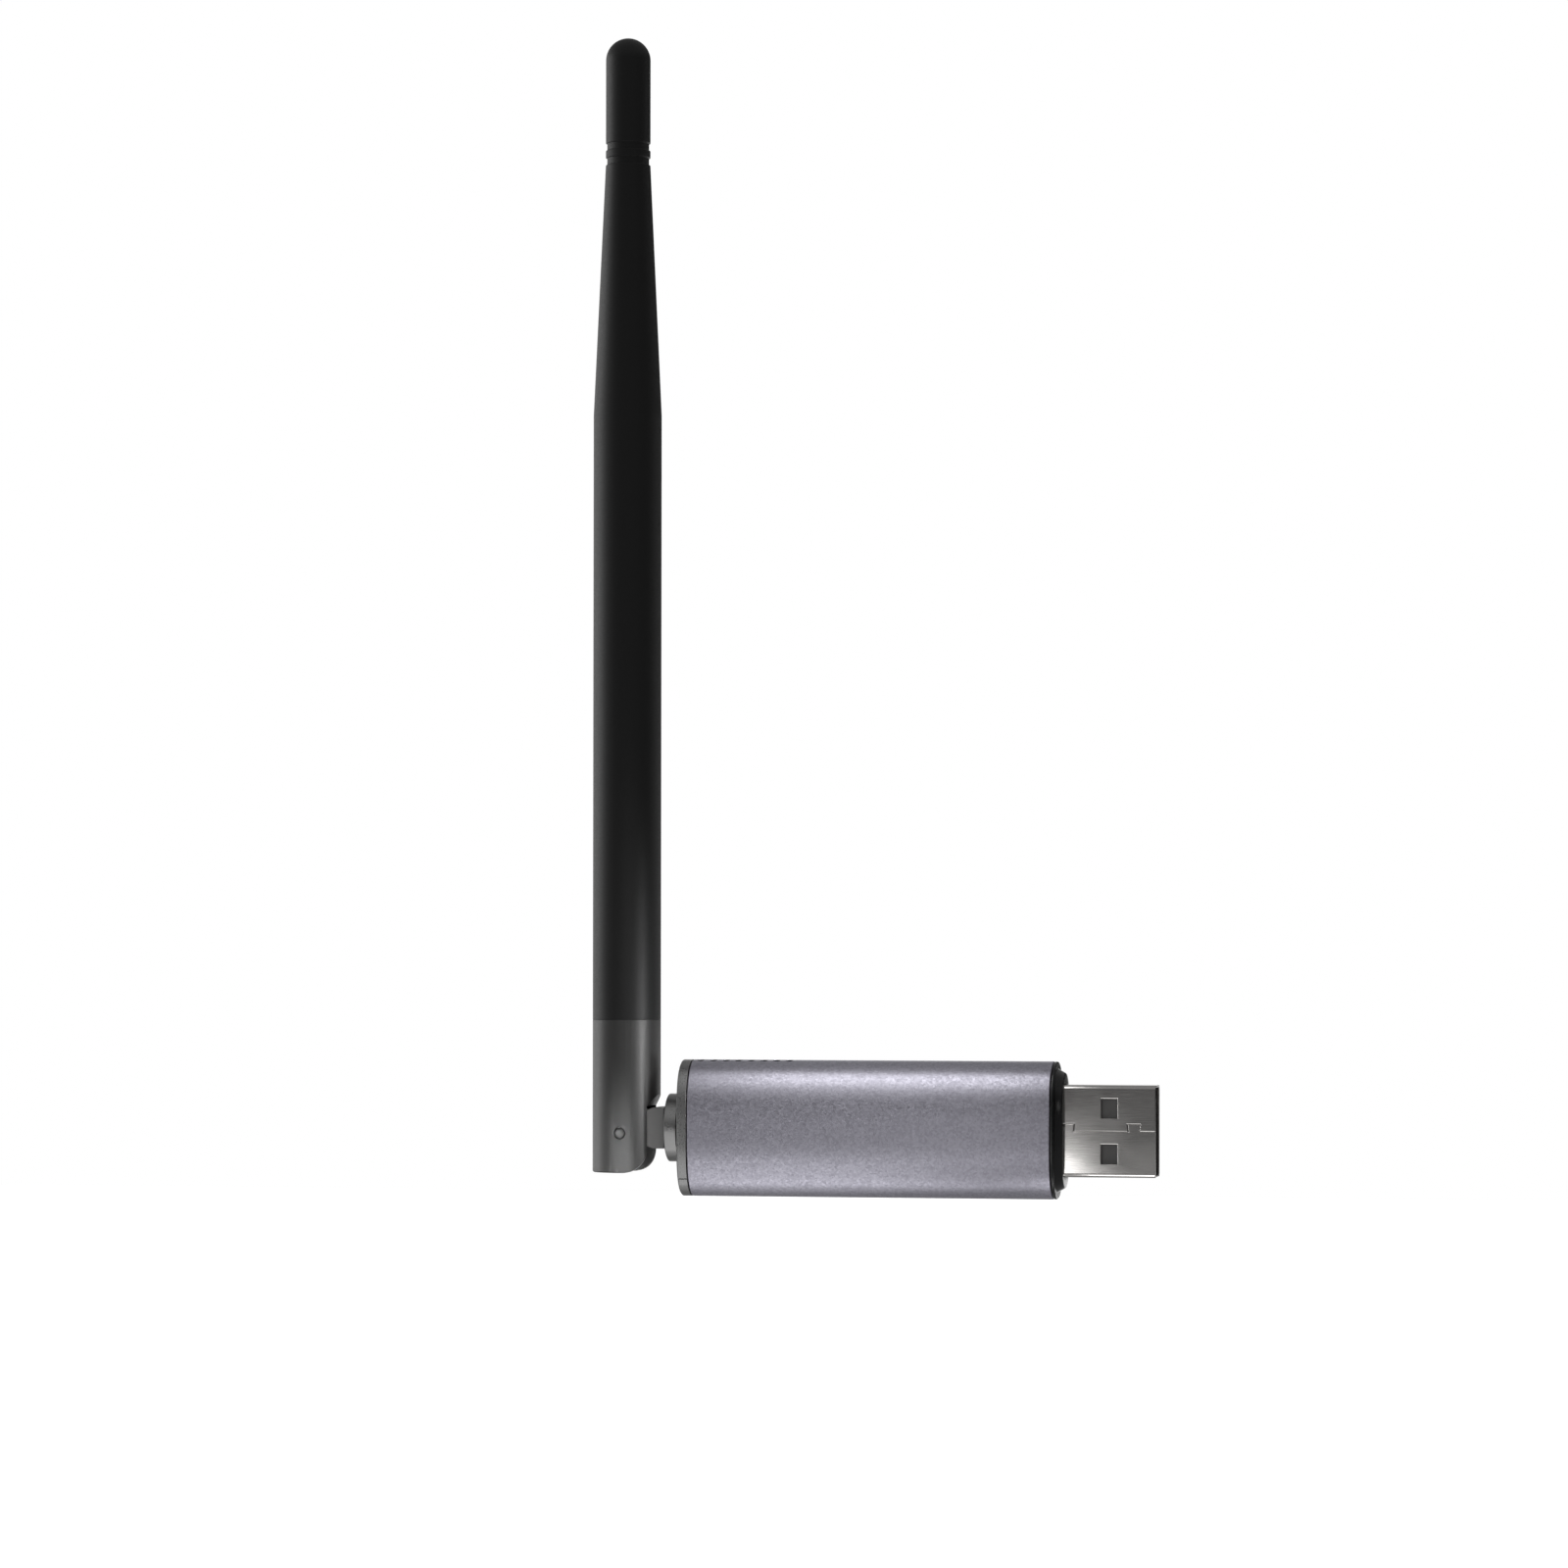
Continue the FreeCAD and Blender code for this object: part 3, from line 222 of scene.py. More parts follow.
def add_floor():
    """A pale sheet; far behind the object, where the photograph's background is, it shows as pure white."""
    mesh = bpy.data.meshes.new("floor")
    half = FLOOR_SIZE / 2
    corners = [(-half, -half), (half, -half), (half, half), (-half, half)]
    mesh.from_pydata([(x, y, FLOOR_HEIGHT) for x, y in corners], [], [(0, 1, 2, 3)])
    floor = collect(bpy.data.objects.new("floor", mesh))
    paint = bpy.data.materials.new("floor_white")
    paint.use_nodes = True
    g = Graph(paint.node_tree)
    coords = g.node("ShaderNodeTexCoord").outputs["Object"]
    parts = g.node("ShaderNodeSeparateXYZ")
    g.link(coords, parts.inputs[0])
    far = g.spread(parts.outputs["Y"], *FLOOR_FADE, smooth=True)
    diffuse = g.node("ShaderNodeBsdfDiffuse")
    g.link(g.tint(g.noise(coords, 0.3), (0.80, 0.80, 0.80), (0.84, 0.84, 0.84)), diffuse.inputs["Color"])
    glow = g.node("ShaderNodeEmission")
    strength = g.maths("MULTIPLY", seen_directly(g, far), g.spread(far, 0, 1, FLOOR_GLOW, 1))
    g.link(strength, glow.inputs["Strength"])
    both = g.node("ShaderNodeAddShader")
    g.link(diffuse.outputs[0], both.inputs[0])
    g.link(glow.outputs[0], both.inputs[1])
    g.link(both.outputs[0], g.node("ShaderNodeOutputMaterial").inputs["Surface"])
    mesh.materials.append(paint)


# Lamps in millimetres: name, place, point aimed at, width, height, radiance and width of the beam in degrees
LAMPS = [
    # Bands along the housing's upper and lower faces
    ("top_softbox", (-29, -31.5, 46), (-27, -3, 5), 48, 40, 3.1, 80),
    ("upper_softbox", (-34, -57, 29), (-26, -3, 4), 48, 24, 0.62, 100),
    ("low_softbox", (-52, -57, -58), (-50, -3, 1), 52, 120, 1.05, 180),
    ("under_softbox", (-44, -8, -70), (-34, 0, 0), 70, 50, 0.4, 180),
    # Sheen on the yoke's right side
    ("hinge_softbox", (22, -40, 12), (-57, -3, 10), 26, 14, 38.0, 38),
    # The plug's bright corner, lower edge and left-hand edges
    ("plug_softbox", (-15.5, -104, -19.5), (2, -2.3, -4), 9, 26, 2.6, 180),
    ("plug_low", (4, -24, -49), (6, -1, -4), 14, 56, 5.5, 42),
    ("plug_left", (-34, -19, -1), (6, -2.3, -1), 12, 14, 6.0, 40),
    # Light along the antenna's left side
    ("left_softbox", (-500, 60, 60), (-58, 0, 70), 260, 500, 1.6, 100),
]
# Narrow beams that light only the yoke's foot: turn about it in degrees, and radiance
YOKE_BEAMS = [(-32, 130.0), (-13, 130.0), (6, 190.0), (24, 190.0)]
YOKE_BEAM_AIM = (-63, -4, -14)
YOKE_BEAM_DISTANCE = 120
YOKE_BEAM_HEIGHT = -17


def add_yoke_beam(turn, radiance):
    place = (YOKE_BEAM_AIM[0] + YOKE_BEAM_DISTANCE * math.sin(turn),
             YOKE_BEAM_AIM[1] - YOKE_BEAM_DISTANCE * math.cos(turn),
             YOKE_BEAM_HEIGHT)
    add_softbox("yoke_softbox", place, YOKE_BEAM_AIM, 8, 30, radiance, 10)


add_camera()
add_world()
add_floor()
for lamp in LAMPS:
    add_softbox(*lamp)
for degrees, level in YOKE_BEAMS:
    add_yoke_beam(math.radians(degrees), level)


# Materials

def coordinates(g):
    return g.node("ShaderNodeTexCoord").outputs["Object"]


def finish_surface(g, colour, roughness, metallic, height, bump, **uniform):
    """Joins colour, roughness and bump to a shader; uniform holds plain values for its other sockets."""
    shader = g.node("ShaderNodeBsdfPrincipled")
    g.feed(shader.inputs["Base Color"], colour)
    g.feed(shader.inputs["Roughness"], roughness)
    shader.inputs["Metallic"].default_value = metallic
    for socket, value in uniform.items():
        shader.inputs[socket].default_value = value
    dent = g.node("ShaderNodeBump")
    dent.inputs["Strength"].default_value = 1.0
    dent.inputs["Distance"].default_value = bump
    g.link(height, dent.inputs["Height"])
    g.link(dent.outputs[0], shader.inputs["Normal"])
    g.link(shader.outputs[0], g.node("ShaderNodeOutputMaterial").inputs["Surface"])


def new_surface(name):
    paint = bpy.data.materials.new(name)
    paint.use_nodes = True
    return paint, Graph(paint.node_tree)


def plain_surface(name, low, high, rough_low, rough_high, grain, bump, metallic=0.0, patch=4 * MM, **uniform):
    """A moulded, cast or drawn finish: soft mottling, uneven gloss and a fine grain."""
    paint, g = new_surface(name)
    where = coordinates(g)
    mottle = g.noise(where, patch, 4)
    fine = g.noise(where, grain * MM, 2)
    roughness = g.spread(fine, 0.3, 0.7, rough_low, rough_high)
    finish_surface(g, g.tint(mottle, low, high), roughness, metallic, fine, bump * MM, **uniform)
    return paint


# Anodised finish: sizes of the blasted facets, of the slow clouding and of the dust-fine grain
FACET_SIZE = 0.26 * MM
CLOUD_SIZE = 3 * MM
DUST_SIZE = 0.12 * MM


def anodised():
    """Bead-blasted, anodised aluminium: a fine sparkle of tiny facets under a tinted skin."""
    paint, g = new_surface("anodised_aluminium")
    where = coordinates(g)
    cells = g.node("ShaderNodeTexVoronoi")
    g.link(where, cells.inputs["Vector"])
    cells.inputs["Scale"].default_value = 1 / FACET_SIZE
    facet = g.node("ShaderNodeSeparateColor")
    g.link(cells.outputs["Color"], facet.inputs[0])
    cloud = g.noise(where, CLOUD_SIZE, 4)
    fine = g.noise(where, DUST_SIZE, 2)
    mixed = g.maths("ADD", g.maths("MULTIPLY", facet.outputs[0], 0.8), g.maths("MULTIPLY", cloud, 0.2))
    colour = g.tint(mixed, (0.335, 0.325, 0.380), (0.465, 0.455, 0.520))
    roughness = g.spread(facet.outputs[1], 0, 1, 0.32, 0.46)
    height = g.maths("ADD", facet.outputs[2], g.maths("MULTIPLY", fine, 1.5))
    finish_surface(g, colour, roughness, 0.92, height, 0.004 * MM)
    return paint


# Rolled sheet: width of its lines, how far they are drawn out, and size of the clouding
LINE_WIDTH = 0.12 * MM
LINE_STRETCH = 0.08
HANDLING_SIZE = 5 * MM


def brushed_steel():
    """Rolled stainless sheet with faint lines along the stick and a few handling marks."""
    paint, g = new_surface("plug_steel")
    where = coordinates(g)
    stretch = g.node("ShaderNodeMapping")
    g.link(where, stretch.inputs["Vector"])
    stretch.inputs["Scale"].default_value = (LINE_STRETCH, 1, 1)
    lines = g.noise(stretch.outputs[0], LINE_WIDTH, 3)
    cloud = g.noise(where, HANDLING_SIZE, 4)
    mixed = g.maths("ADD", g.maths("MULTIPLY", lines, 0.5), g.maths("MULTIPLY", cloud, 0.5))
    roughness = g.spread(mixed, 0.35, 0.65, 0.11, 0.17)
    colour = g.tint(cloud, (0.55, 0.535, 0.52), (0.63, 0.615, 0.60))
    finish_surface(g, colour, roughness, 1.0, lines, 0.0008 * MM)
    return paint


# Plain finishes: darker and lighter colour, lowest and highest roughness, size of the grain and height of its
# bump in millimetres, and what else a finish needs
PLAIN = {
    "dark_nickel": ((0.24, 0.24, 0.24), (0.28, 0.278, 0.275), 0.27, 0.33, 0.20, 0.001, {"metallic": 1.0}),
    "grey_plastic": ((0.11, 0.1085, 0.107), (0.15, 0.148, 0.146), 0.42, 0.58, 0.15, 0.006, {}),
    "yoke_plastic": ((0.015, 0.0147, 0.0144), (0.026, 0.0255, 0.025), 0.38, 0.50, 0.16, 0.008, {"IOR": 1.7}),
    "antenna_plastic": ((0.0030, 0.0030, 0.0032), (0.0050, 0.0050, 0.0052), 0.44, 0.56, 0.20, 0.003, {}),
    "black_gloss": ((0.006, 0.006, 0.0065), (0.010, 0.010, 0.011), 0.12, 0.22, 0.25, 0.002, {}),
    "insulator_plastic": ((0.075, 0.073, 0.072), (0.095, 0.093, 0.091), 0.40, 0.55, 0.12, 0.004, {}),
    "gilt": ((0.78, 0.56, 0.22), (0.86, 0.64, 0.28), 0.18, 0.30, 0.10, 0.001, {"metallic": 1.0}),
    "board": ((0.012, 0.085, 0.040), (0.020, 0.120, 0.055), 0.30, 0.42, 0.30, 0.006, {"patch": 2 * MM}),
    "tin": ((0.58, 0.58, 0.57), (0.66, 0.66, 0.65), 0.24, 0.40, 0.15, 0.002, {"metallic": 1.0}),
    "chip_black": ((0.014, 0.014, 0.015), (0.022, 0.022, 0.023), 0.45, 0.60, 0.08, 0.004, {}),
    "ceramic": ((0.36, 0.26, 0.17), (0.44, 0.33, 0.23), 0.35, 0.50, 0.10, 0.002, {}),
    "white_insulator": ((0.74, 0.74, 0.72), (0.82, 0.82, 0.80), 0.38, 0.50, 0.10, 0.002, {}),
    "seal_rubber": ((0.016, 0.016, 0.016), (0.024, 0.024, 0.024), 0.60, 0.75, 0.10, 0.005, {}),
    "cable_jacket": ((0.012, 0.012, 0.012), (0.020, 0.020, 0.020), 0.40, 0.55, 0.12, 0.004, {}),
    "brass": ((0.58, 0.42, 0.17), (0.66, 0.49, 0.22), 0.25, 0.38, 0.10, 0.002, {"metallic": 1.0}),
    "foam": ((0.08, 0.08, 0.08), (0.12, 0.12, 0.12), 0.85, 0.95, 0.25, 0.08, {}),
    # Skins of the rear cap and of the pivot pins, which share the slot grey_plastic with the neck; the rear
    # cap's skin is the neck's plastic made glossier, and darker as painted shade
    "cap_shaded_plastic": ((0.042, 0.0415, 0.041), (0.058, 0.0575, 0.057), 0.26, 0.34, 0.15, 0.003, {"IOR": 2.7}),
    "pin_plastic": ((0.030, 0.0295, 0.029), (0.042, 0.0415, 0.041), 0.30, 0.42, 0.12, 0.003, {"IOR": 1.7}),
}
PAINT = {"anodised_metal": anodised(), "plug_steel": brushed_steel()}
for finish, (*settings, extras) in PLAIN.items():
    PAINT[finish] = plain_surface(finish, *settings, **extras)
SLOTS = {row["node"]: row["material_slot"] for row in frame["record"]["subparts"]}
BODY_OF = {node: body for body, nodes in frame["record"]["behaviour"]["bodies"].items() for node in nodes}


def paint_piece(obj, slot):
    obj.data.materials.clear()
    obj.data.materials.append(PAINT[slot])


for node, obj in frame["nodes"].items():
    paint_piece(obj, SLOTS[node])


# Pieces

def stand_in(obj, node):
    """The piece takes the CAD node's place, body and finish."""
    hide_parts(node)
    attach(obj, BODY_OF[node])
    paint_piece(obj, SLOTS[node])
    return obj


# Edges that turn by more than this stay sharp or are rounded
SHARP = math.radians(32)


def mesh_piece(name, bm):
    mesh = bpy.data.meshes.new(name)
    bmesh.ops.recalc_face_normals(bm, faces=bm.faces)
    bm.to_mesh(mesh)
    bm.free()
    mesh.shade_smooth()
    mesh.set_sharp_from_angle(angle=SHARP)
    return collect(bpy.data.objects.new(name, mesh))


def around(count):
    """Cosine and sine of each step round a full turn."""
    for step in range(count):
        angle = math.tau * step / count
        yield math.cos(angle), math.sin(angle)


def quarter(count):
    """Cosine and sine of the steps inside a quarter turn, without its two ends."""
    for step in range(1, count):
        angle = math.pi / 2 * step / count
        yield math.cos(angle), math.sin(angle)


def bridge(bm, rings, closed=True):
    """Faces between each ring of vertices and the next; a ring of one vertex makes a fan."""
    following = rings[1:] + rings[:1] if closed else rings[1:]
    for first, second in zip(rings, following):
        count = max(len(first), len(second))
        if count == 1:
            continue
        for step in range(count):
            after = (step + 1) % count
            corners = [first[step % len(first)], first[after % len(first)],
                       second[after % len(second)], second[step % len(second)]]
            bm.faces.new(list(dict.fromkeys(corners)))


# The plug's seam: depth and height of the strip that holds its edges, the width of the gap between them, how
# far each side moves across it, and the tabs' moves as (from, to, step) along the plug
SEAM_STRIP = (0.31 * MM, 1.2 * MM)
SEAM_GAP = (0.05 * MM, 0.125 * MM)
SEAM_NEAR = 0.36
TAB_SHIFTS = ((1.3 * MM, 1.8 * MM, 0.3 * MM), (8.3 * MM, 10.3 * MM, 0.15 * MM))
# The plug's edges are rounded only outside the shoulder
PLUG_ROUNDED_FROM = -1.5 * MM


def plug_details(bm):
    """Draws the two sides of the plug's seam together and picks its outer edges for rounding."""
    low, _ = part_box("usb_shell")
    depth, height = SEAM_STRIP
    rim = [v for v in bm.verts if v.co.y < low.y + depth and abs(v.co.z) < height]
    moves = []
    for vert in rim:
        steps = [other.co - vert.co for other in rim]
        near = [step for step in steps if SEAM_GAP[0] < step.length < SEAM_GAP[1]]
        if near:
            moves.append((vert, min(near, key=lambda step: step.length) * SEAM_NEAR))
    for vert, step in moves:
        vert.co += step
    for start, end, shift in TAB_SHIFTS:
        for vert in rim:
            if start < vert.co.x < end:
                vert.co.x -= shift
    bmesh.ops.recalc_face_normals(bm, faces=bm.faces)
    weight = bm.edges.layers.float.new("bevel_weight_edge")
    for edge in bm.edges:
        outside = all(v.co.x > PLUG_ROUNDED_FROM for v in edge.verts)
        edge[weight] = float(outside and edge.calc_face_angle(0) > SHARP)


# Faces that meet at less than this are joined up before their edges are rounded
FLAT = math.radians(0.5)
BEVEL_SEGMENTS = 3


def softened(node, name, width, change=None):
    """The CAD form with its flat faces joined up and its edges rounded; a change picks the edges itself."""
    bm = bmesh.new()
    bm.from_mesh(frame["nodes"][node].data)
    bmesh.ops.remove_doubles(bm, verts=bm.verts, dist=1e-7)
    bmesh.ops.dissolve_limit(bm, angle_limit=FLAT, verts=bm.verts, edges=bm.edges)
    if change:
        change(bm)
    obj = mesh_piece(name, bm)
    bevel = obj.modifiers.new("rounded_edges", "BEVEL")
    bevel.width = width
    bevel.segments = BEVEL_SEGMENTS
    bevel.limit_method = "WEIGHT" if change else "ANGLE"
    bevel.angle_limit = SHARP
    bevel.harden_normals = True
    bevel.use_clamp_overlap = change is None
    return stand_in(obj, node)


# Distance from an arc's end to the point that keeps the straight run beside it flat, and the largest share of
# a run that an arc may take
HOLD = 0.03 * MM
ARC_SHARE = 0.45
ARC_STEPS = 5


def rounded(profile):
    """Points of a closed profile of (radius, height, rounding), with an arc at each corner that has a rounding.
    A close pair of points ends each arc, so that the straight runs shade flat."""
    points = []
    count = len(profile)
    for index, corner in enumerate(profile):
        here = Vector(corner[:2])
        size = corner[2]
        before = Vector(profile[index - 1][:2]) - here
        after = Vector(profile[(index + 1) % count][:2]) - here
        if size == 0:
            points.append(here)
            continue
        half = before.angle(after) / 2
        reach = min(size / math.tan(half), before.length * ARC_SHARE, after.length * ARC_SHARE)
        radius = reach * math.tan(half)
        centre = here + (before.normalized() + after.normalized()).normalized() * radius / math.sin(half)
        first = here + before.normalized() * reach - centre
        last = here + after.normalized() * reach - centre
        turn = math.atan2(first.x * last.y - first.y * last.x, first.dot(last))
        if before.length * ARC_SHARE > reach + HOLD:
            points.append(centre + first + before.normalized() * HOLD)
        for step in range(ARC_STEPS + 1):
            points.append(centre + Matrix.Rotation(turn * step / ARC_STEPS, 2) @ first)
        if after.length * ARC_SHARE > reach + HOLD:
            points.append(centre + last + after.normalized() * HOLD)
    return points


# A profile's point closer to the axis than this becomes one vertex
ON_AXIS = 1e-7


def lathe(name, profile, origin, axis, segments):
    """Turns a closed profile of (radius, height) about an axis through origin."""
    bm = bmesh.new()
    side = Vector((1, 0, 0)) if abs(axis.y) > 0.5 else Vector((0, 1, 0))
    out = axis.cross(side)
    rings = []
    for radius, height in profile:
        centre = origin + axis * height
        if radius < ON_AXIS:
            rings.append([bm.verts.new(centre)])
        else:
            rings.append([
                bm.verts.new(centre + (out * cosine + side * sine) * radius)
                for cosine, sine in around(segments)
            ])
    bridge(bm, rings)
    return mesh_piece(name, bm)


UP = Vector((0, 0, 1))
ALONG = Vector((1, 0, 0))
radome_low, radome_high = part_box("antenna_radome")
antenna_x = (radome_low.x + radome_high.x) / 2
antenna_axis = Vector((antenna_x, 0, 0))
PIVOT_DROP = 0.7 * MM
pivot = Vector((antenna_x, 0, -PIVOT_DROP))

# Antenna cover
COVER_WALL = 0.8 * MM
TIP_RADIUS = 2.95 * MM
TIP_LENGTH = 16.8 * MM
TAPER_LENGTH = 33.1 * MM
GROOVE_WIDTH = 0.95 * MM
GROOVE_LAND = 0.97 * MM
GROOVE_DEPTH = 0.18 * MM
TIP_WALL = 4 * MM
DOME_STEPS = 24
COVER_SEGMENTS = 160


def antenna_cover():
    radius = (radome_high.x - radome_low.x) / 2
    top = radome_high.z
    first = top - TIP_LENGTH
    shoulder = first - TAPER_LENGTH
    second = first + GROOVE_WIDTH + GROOVE_LAND
    low = TIP_RADIUS - GROOVE_DEPTH
    edge = 0.10 * MM
    outline = [
        (radius - COVER_WALL, radome_low.z, 0),
        (radius, radome_low.z, 0.08 * MM),
        (radius, shoulder, 12 * MM),
        (TIP_RADIUS, first, edge),
        (low, first, edge),
        (low, first + GROOVE_WIDTH, edge),
        (TIP_RADIUS, first + GROOVE_WIDTH, edge),
        (TIP_RADIUS, second, edge),
        (low, second, edge),
        (low, second + GROOVE_WIDTH, edge),
        (TIP_RADIUS, second + GROOVE_WIDTH, edge),
        (TIP_RADIUS, top - TIP_RADIUS, 0),
    ]
    for cosine, sine in quarter(DOME_STEPS):
        outline.append((TIP_RADIUS * cosine, top - TIP_RADIUS + TIP_RADIUS * sine, 0))
    outline += [
        (0, top, 0),
        (0, top - TIP_WALL, 0),
        (TIP_RADIUS - COVER_WALL, top - TIP_WALL, 0),
        (TIP_RADIUS - COVER_WALL, shoulder, 0),
        (radius - COVER_WALL, shoulder, 0),
    ]
    cover = lathe("antenna_cover", rounded(outline), antenna_axis, UP, COVER_SEGMENTS)
    stand_in(cover, "antenna_radome")


# Pivot pins, with a low dome outside and a fine gap round it
PIN_DOME = 0.20 * MM
PIN_GAP = 0.06 * MM
PIN_STEPS = 12
PIN_SEGMENTS = 64
# Below 1, the dome is flatter in its middle than half an ellipse
PIN_FLATNESS = 0.6


def pivot_pin(node, side):
    low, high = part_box(node)
    radius = (high.x - low.x) / 2 - PIN_GAP
    inner = min(abs(low.y), abs(high.y))
    outer = max(abs(low.y), abs(high.y))
    profile = [(0, inner, 0), (radius, inner, 0.05 * MM), (radius, outer, 0)]
    for cosine, sine in quarter(PIN_STEPS):
        profile.append((radius * cosine ** PIN_FLATNESS, outer + PIN_DOME * sine, 0))
    profile.append((0, outer + PIN_DOME, 0))
    name = node.replace("hinge", "pivot")
    pin = lathe(name, rounded(profile), pivot, Vector((0, side, 0)), PIN_SEGMENTS)
    stand_in(pin, node)
    pin.data.materials[0] = PAINT["pin_plastic"]


# Coupling nut: radii, and distances from its face towards the plug
NUT_SHANK_BORE = 2.6 * MM
NUT_THREAD_BORE = 3.25 * MM
NUT_BARREL = 3.6 * MM
NUT_FACE_SET_BACK = 0.16 * MM
NUT_FLOOR = 1.0 * MM
NUT_FLANGE_END = 1.75 * MM
NUT_SEGMENTS = 128


def nut():
    low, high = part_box("coupling_nut")
    face = low.x + NUT_FACE_SET_BACK
    flange = (high.z - low.z) / 2
    end = low.x + NUT_FLANGE_END
    floor = low.x + NUT_FLOOR
    profile = [
        (NUT_SHANK_BORE, face, 0.1 * MM),
        (flange, face, 0.1 * MM),
        (flange, end, 0.02 * MM),
        (NUT_BARREL, end, 0.05 * MM),
        (NUT_BARREL, high.x, 0.1 * MM),
        (NUT_THREAD_BORE, high.x, 0.1 * MM),
        (NUT_THREAD_BORE, floor, 0.05 * MM),
        (NUT_SHANK_BORE, floor, 0.05 * MM),
    ]
    turned = lathe("antenna_nut", rounded(profile), Vector((0, 0, 0)), ALONG, NUT_SEGMENTS)
    stand_in(turned, "coupling_nut")


# Housing and end caps share one section, a flat oval with faintly crowned faces. Each cap's spigot stands
# inside the tube, and a fine seam parts cap and tube.
HALF_DEPTH = 5.0 * MM
HALF_HEIGHT = 9.0 * MM
OVAL_POWER = 3.7
RING_POINTS = 320
WALL = 0.9 * MM
SPIGOT_INSET = 1.05 * MM
SPIGOT_LENGTH = 3.5 * MM
SEAM = 0.12 * MM
WINDOW_POWER = 12
TUBE_BACK, TUBE_FRONT = (corner.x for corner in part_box("housing_tube"))


def oval(inset, x, shrink=(0, 0)):
    """Ring of points on the section, drawn in all round by inset, and further by shrink in depth and height."""
    ring = []
    for cosine, sine in around(RING_POINTS):
        y = HALF_DEPTH * cosine
        z = math.copysign(HALF_HEIGHT * abs(sine) ** (2 / OVAL_POWER), sine)
        slope = math.copysign(OVAL_POWER / HALF_HEIGHT * abs(z / HALF_HEIGHT) ** (OVAL_POWER - 1), z)
        outward = Vector((2 * y / HALF_DEPTH ** 2, slope)).normalized()
        ring.append(Vector((x, y - outward.x * (inset + shrink[0]), z - outward.y * (inset + shrink[1]))))
    return ring


def circle(radius, x):
    """Ring of points on a round bore, each in line with its point of the section."""
    return [Vector((x, *(Vector(point[1:]).normalized() * radius))) for point in oval(0, x)]


def window(half_depth, half_height, x):
    """Ring of points on a rectangle with rounded corners."""
    ring = []
    for point in oval(0, x):
        across = Vector(point[1:]).normalized()
        shares = (abs(across.x / half_depth), abs(across.y / half_height))
        reach = sum(share ** WINDOW_POWER for share in shares) ** (-1 / WINDOW_POWER)
        ring.append(Vector((x, *(across * reach))))
    return ring


def skin(name, rings):
    """Closed surface through a loop of rings with the same number of points."""
    bm = bmesh.new()
    bridge(bm, [[bm.verts.new(point) for point in ring] for ring in rings])
    return mesh_piece(name, bm)


def ovals(profile):
    """Rings for a profile of (inset, x, rounding)."""
    return [oval(inset, x) for inset, x in rounded(profile)[1:-1]]


def add_block(bm, low, high):
    made = bmesh.ops.create_cube(bm, size=1)["verts"]
    for vert in made:
        vert.co = Vector(low[axis] if vert.co[axis] < 0 else high[axis] for axis in range(3))


def carve(obj, bm):
    """Cuts the closed forms in bm out of the piece."""
    tool = mesh_piece("cutter", bm)
    cutting = obj.modifiers.new("cut", "BOOLEAN")
    cutting.operation = "DIFFERENCE"
    cutting.solver = "EXACT"
    cutting.object = tool
    result = bpy.data.meshes.new_from_object(obj.evaluated_get(bpy.context.evaluated_depsgraph_get()))
    obj.modifiers.clear()
    obj.data = result
    bpy.data.objects.remove(tool)
    result.shade_smooth()
    result.set_sharp_from_angle(angle=SHARP)


# A row of vents along the housing's upper crown; VENT_START is from the tube's rear end to the first one
VENT_COUNT = 8
VENT_RADIUS = 0.5 * MM
VENT_PITCH = 1.69 * MM
VENT_START = 1.1 * MM
VENT_SIDE = -0.85 * MM
VENT_SEGMENTS = 32
VENT_CUT = 3 * MM
vent_middles = [TUBE_BACK + VENT_START + VENT_PITCH * index for index in range(VENT_COUNT)]


def housing():
    middle = (TUBE_BACK + TUBE_FRONT) / 2
    profile = [
        (WALL, middle, 0),
        (WALL, TUBE_BACK, 0.08 * MM),
        (0, TUBE_BACK, 0.14 * MM),
        (0, TUBE_FRONT, 0.14 * MM),
        (WALL, TUBE_FRONT, 0.08 * MM),
        (WALL, middle, 0),
    ]
    tube = skin("housing", ovals(profile))
    bm = bmesh.new()
    for x in vent_middles:
        bmesh.ops.create_cone(
            bm, cap_ends=True, segments=VENT_SEGMENTS, radius1=VENT_RADIUS, radius2=VENT_RADIUS,
            depth=VENT_CUT, matrix=Matrix.Translation((x, VENT_SIDE, HALF_HEIGHT)),
        )
    carve(tube, bm)
    stand_in(tube, "housing_tube")


# Vent sleeves, dark liners that paint the shade inside the vents: their wall, how far they are sunk, and their
# play in the holes
SHADE_SLEEVE_WALL = 0.06 * MM
SHADE_SLEEVE_SINK = 0.04 * MM
SHADE_SLEEVE_PLAY = 0.005 * MM


def vent_shade_sleeves():
    """Black sleeves that line the vents, sunk a little below the crown: painted shade, a dark liner standing
    for the shade inside the holes.
    """
    bm = bmesh.new()
    outer = VENT_RADIUS - SHADE_SLEEVE_PLAY
    inner = VENT_RADIUS - SHADE_SLEEVE_WALL
    for x in vent_middles:
        rings = []
        for radius, drop in ((outer, WALL), (outer, SHADE_SLEEVE_SINK), (inner, SHADE_SLEEVE_SINK), (inner, WALL)):
            ring = []
            for cosine, sine in around(VENT_SEGMENTS):
                y = VENT_SIDE + radius * sine
                crown = HALF_HEIGHT * (1 - (y / HALF_DEPTH) ** 2) ** (1 / OVAL_POWER)
                ring.append(bm.verts.new((x + radius * cosine, y, crown - drop)))
            rings.append(ring)
        bridge(bm, rings)
    shade_sleeves = mesh_piece("vent_shade_sleeves", bm)
    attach(shade_sleeves, "stick")
    # The black seal rubber here is painted shade inside the vents; the vents' own walls are anodised like the
    # tube.
    paint_piece(shade_sleeves, "seal_rubber")


# Card guides: height of their tips above the stick's axis, width, play beside the board, and how far they
# end inside the tube
GUIDE_TIP = 6.9 * MM
GUIDE_WIDTH = 0.7 * MM
GUIDE_PLAY = 0.1 * MM
GUIDE_SET_BACK = 0.3 * MM


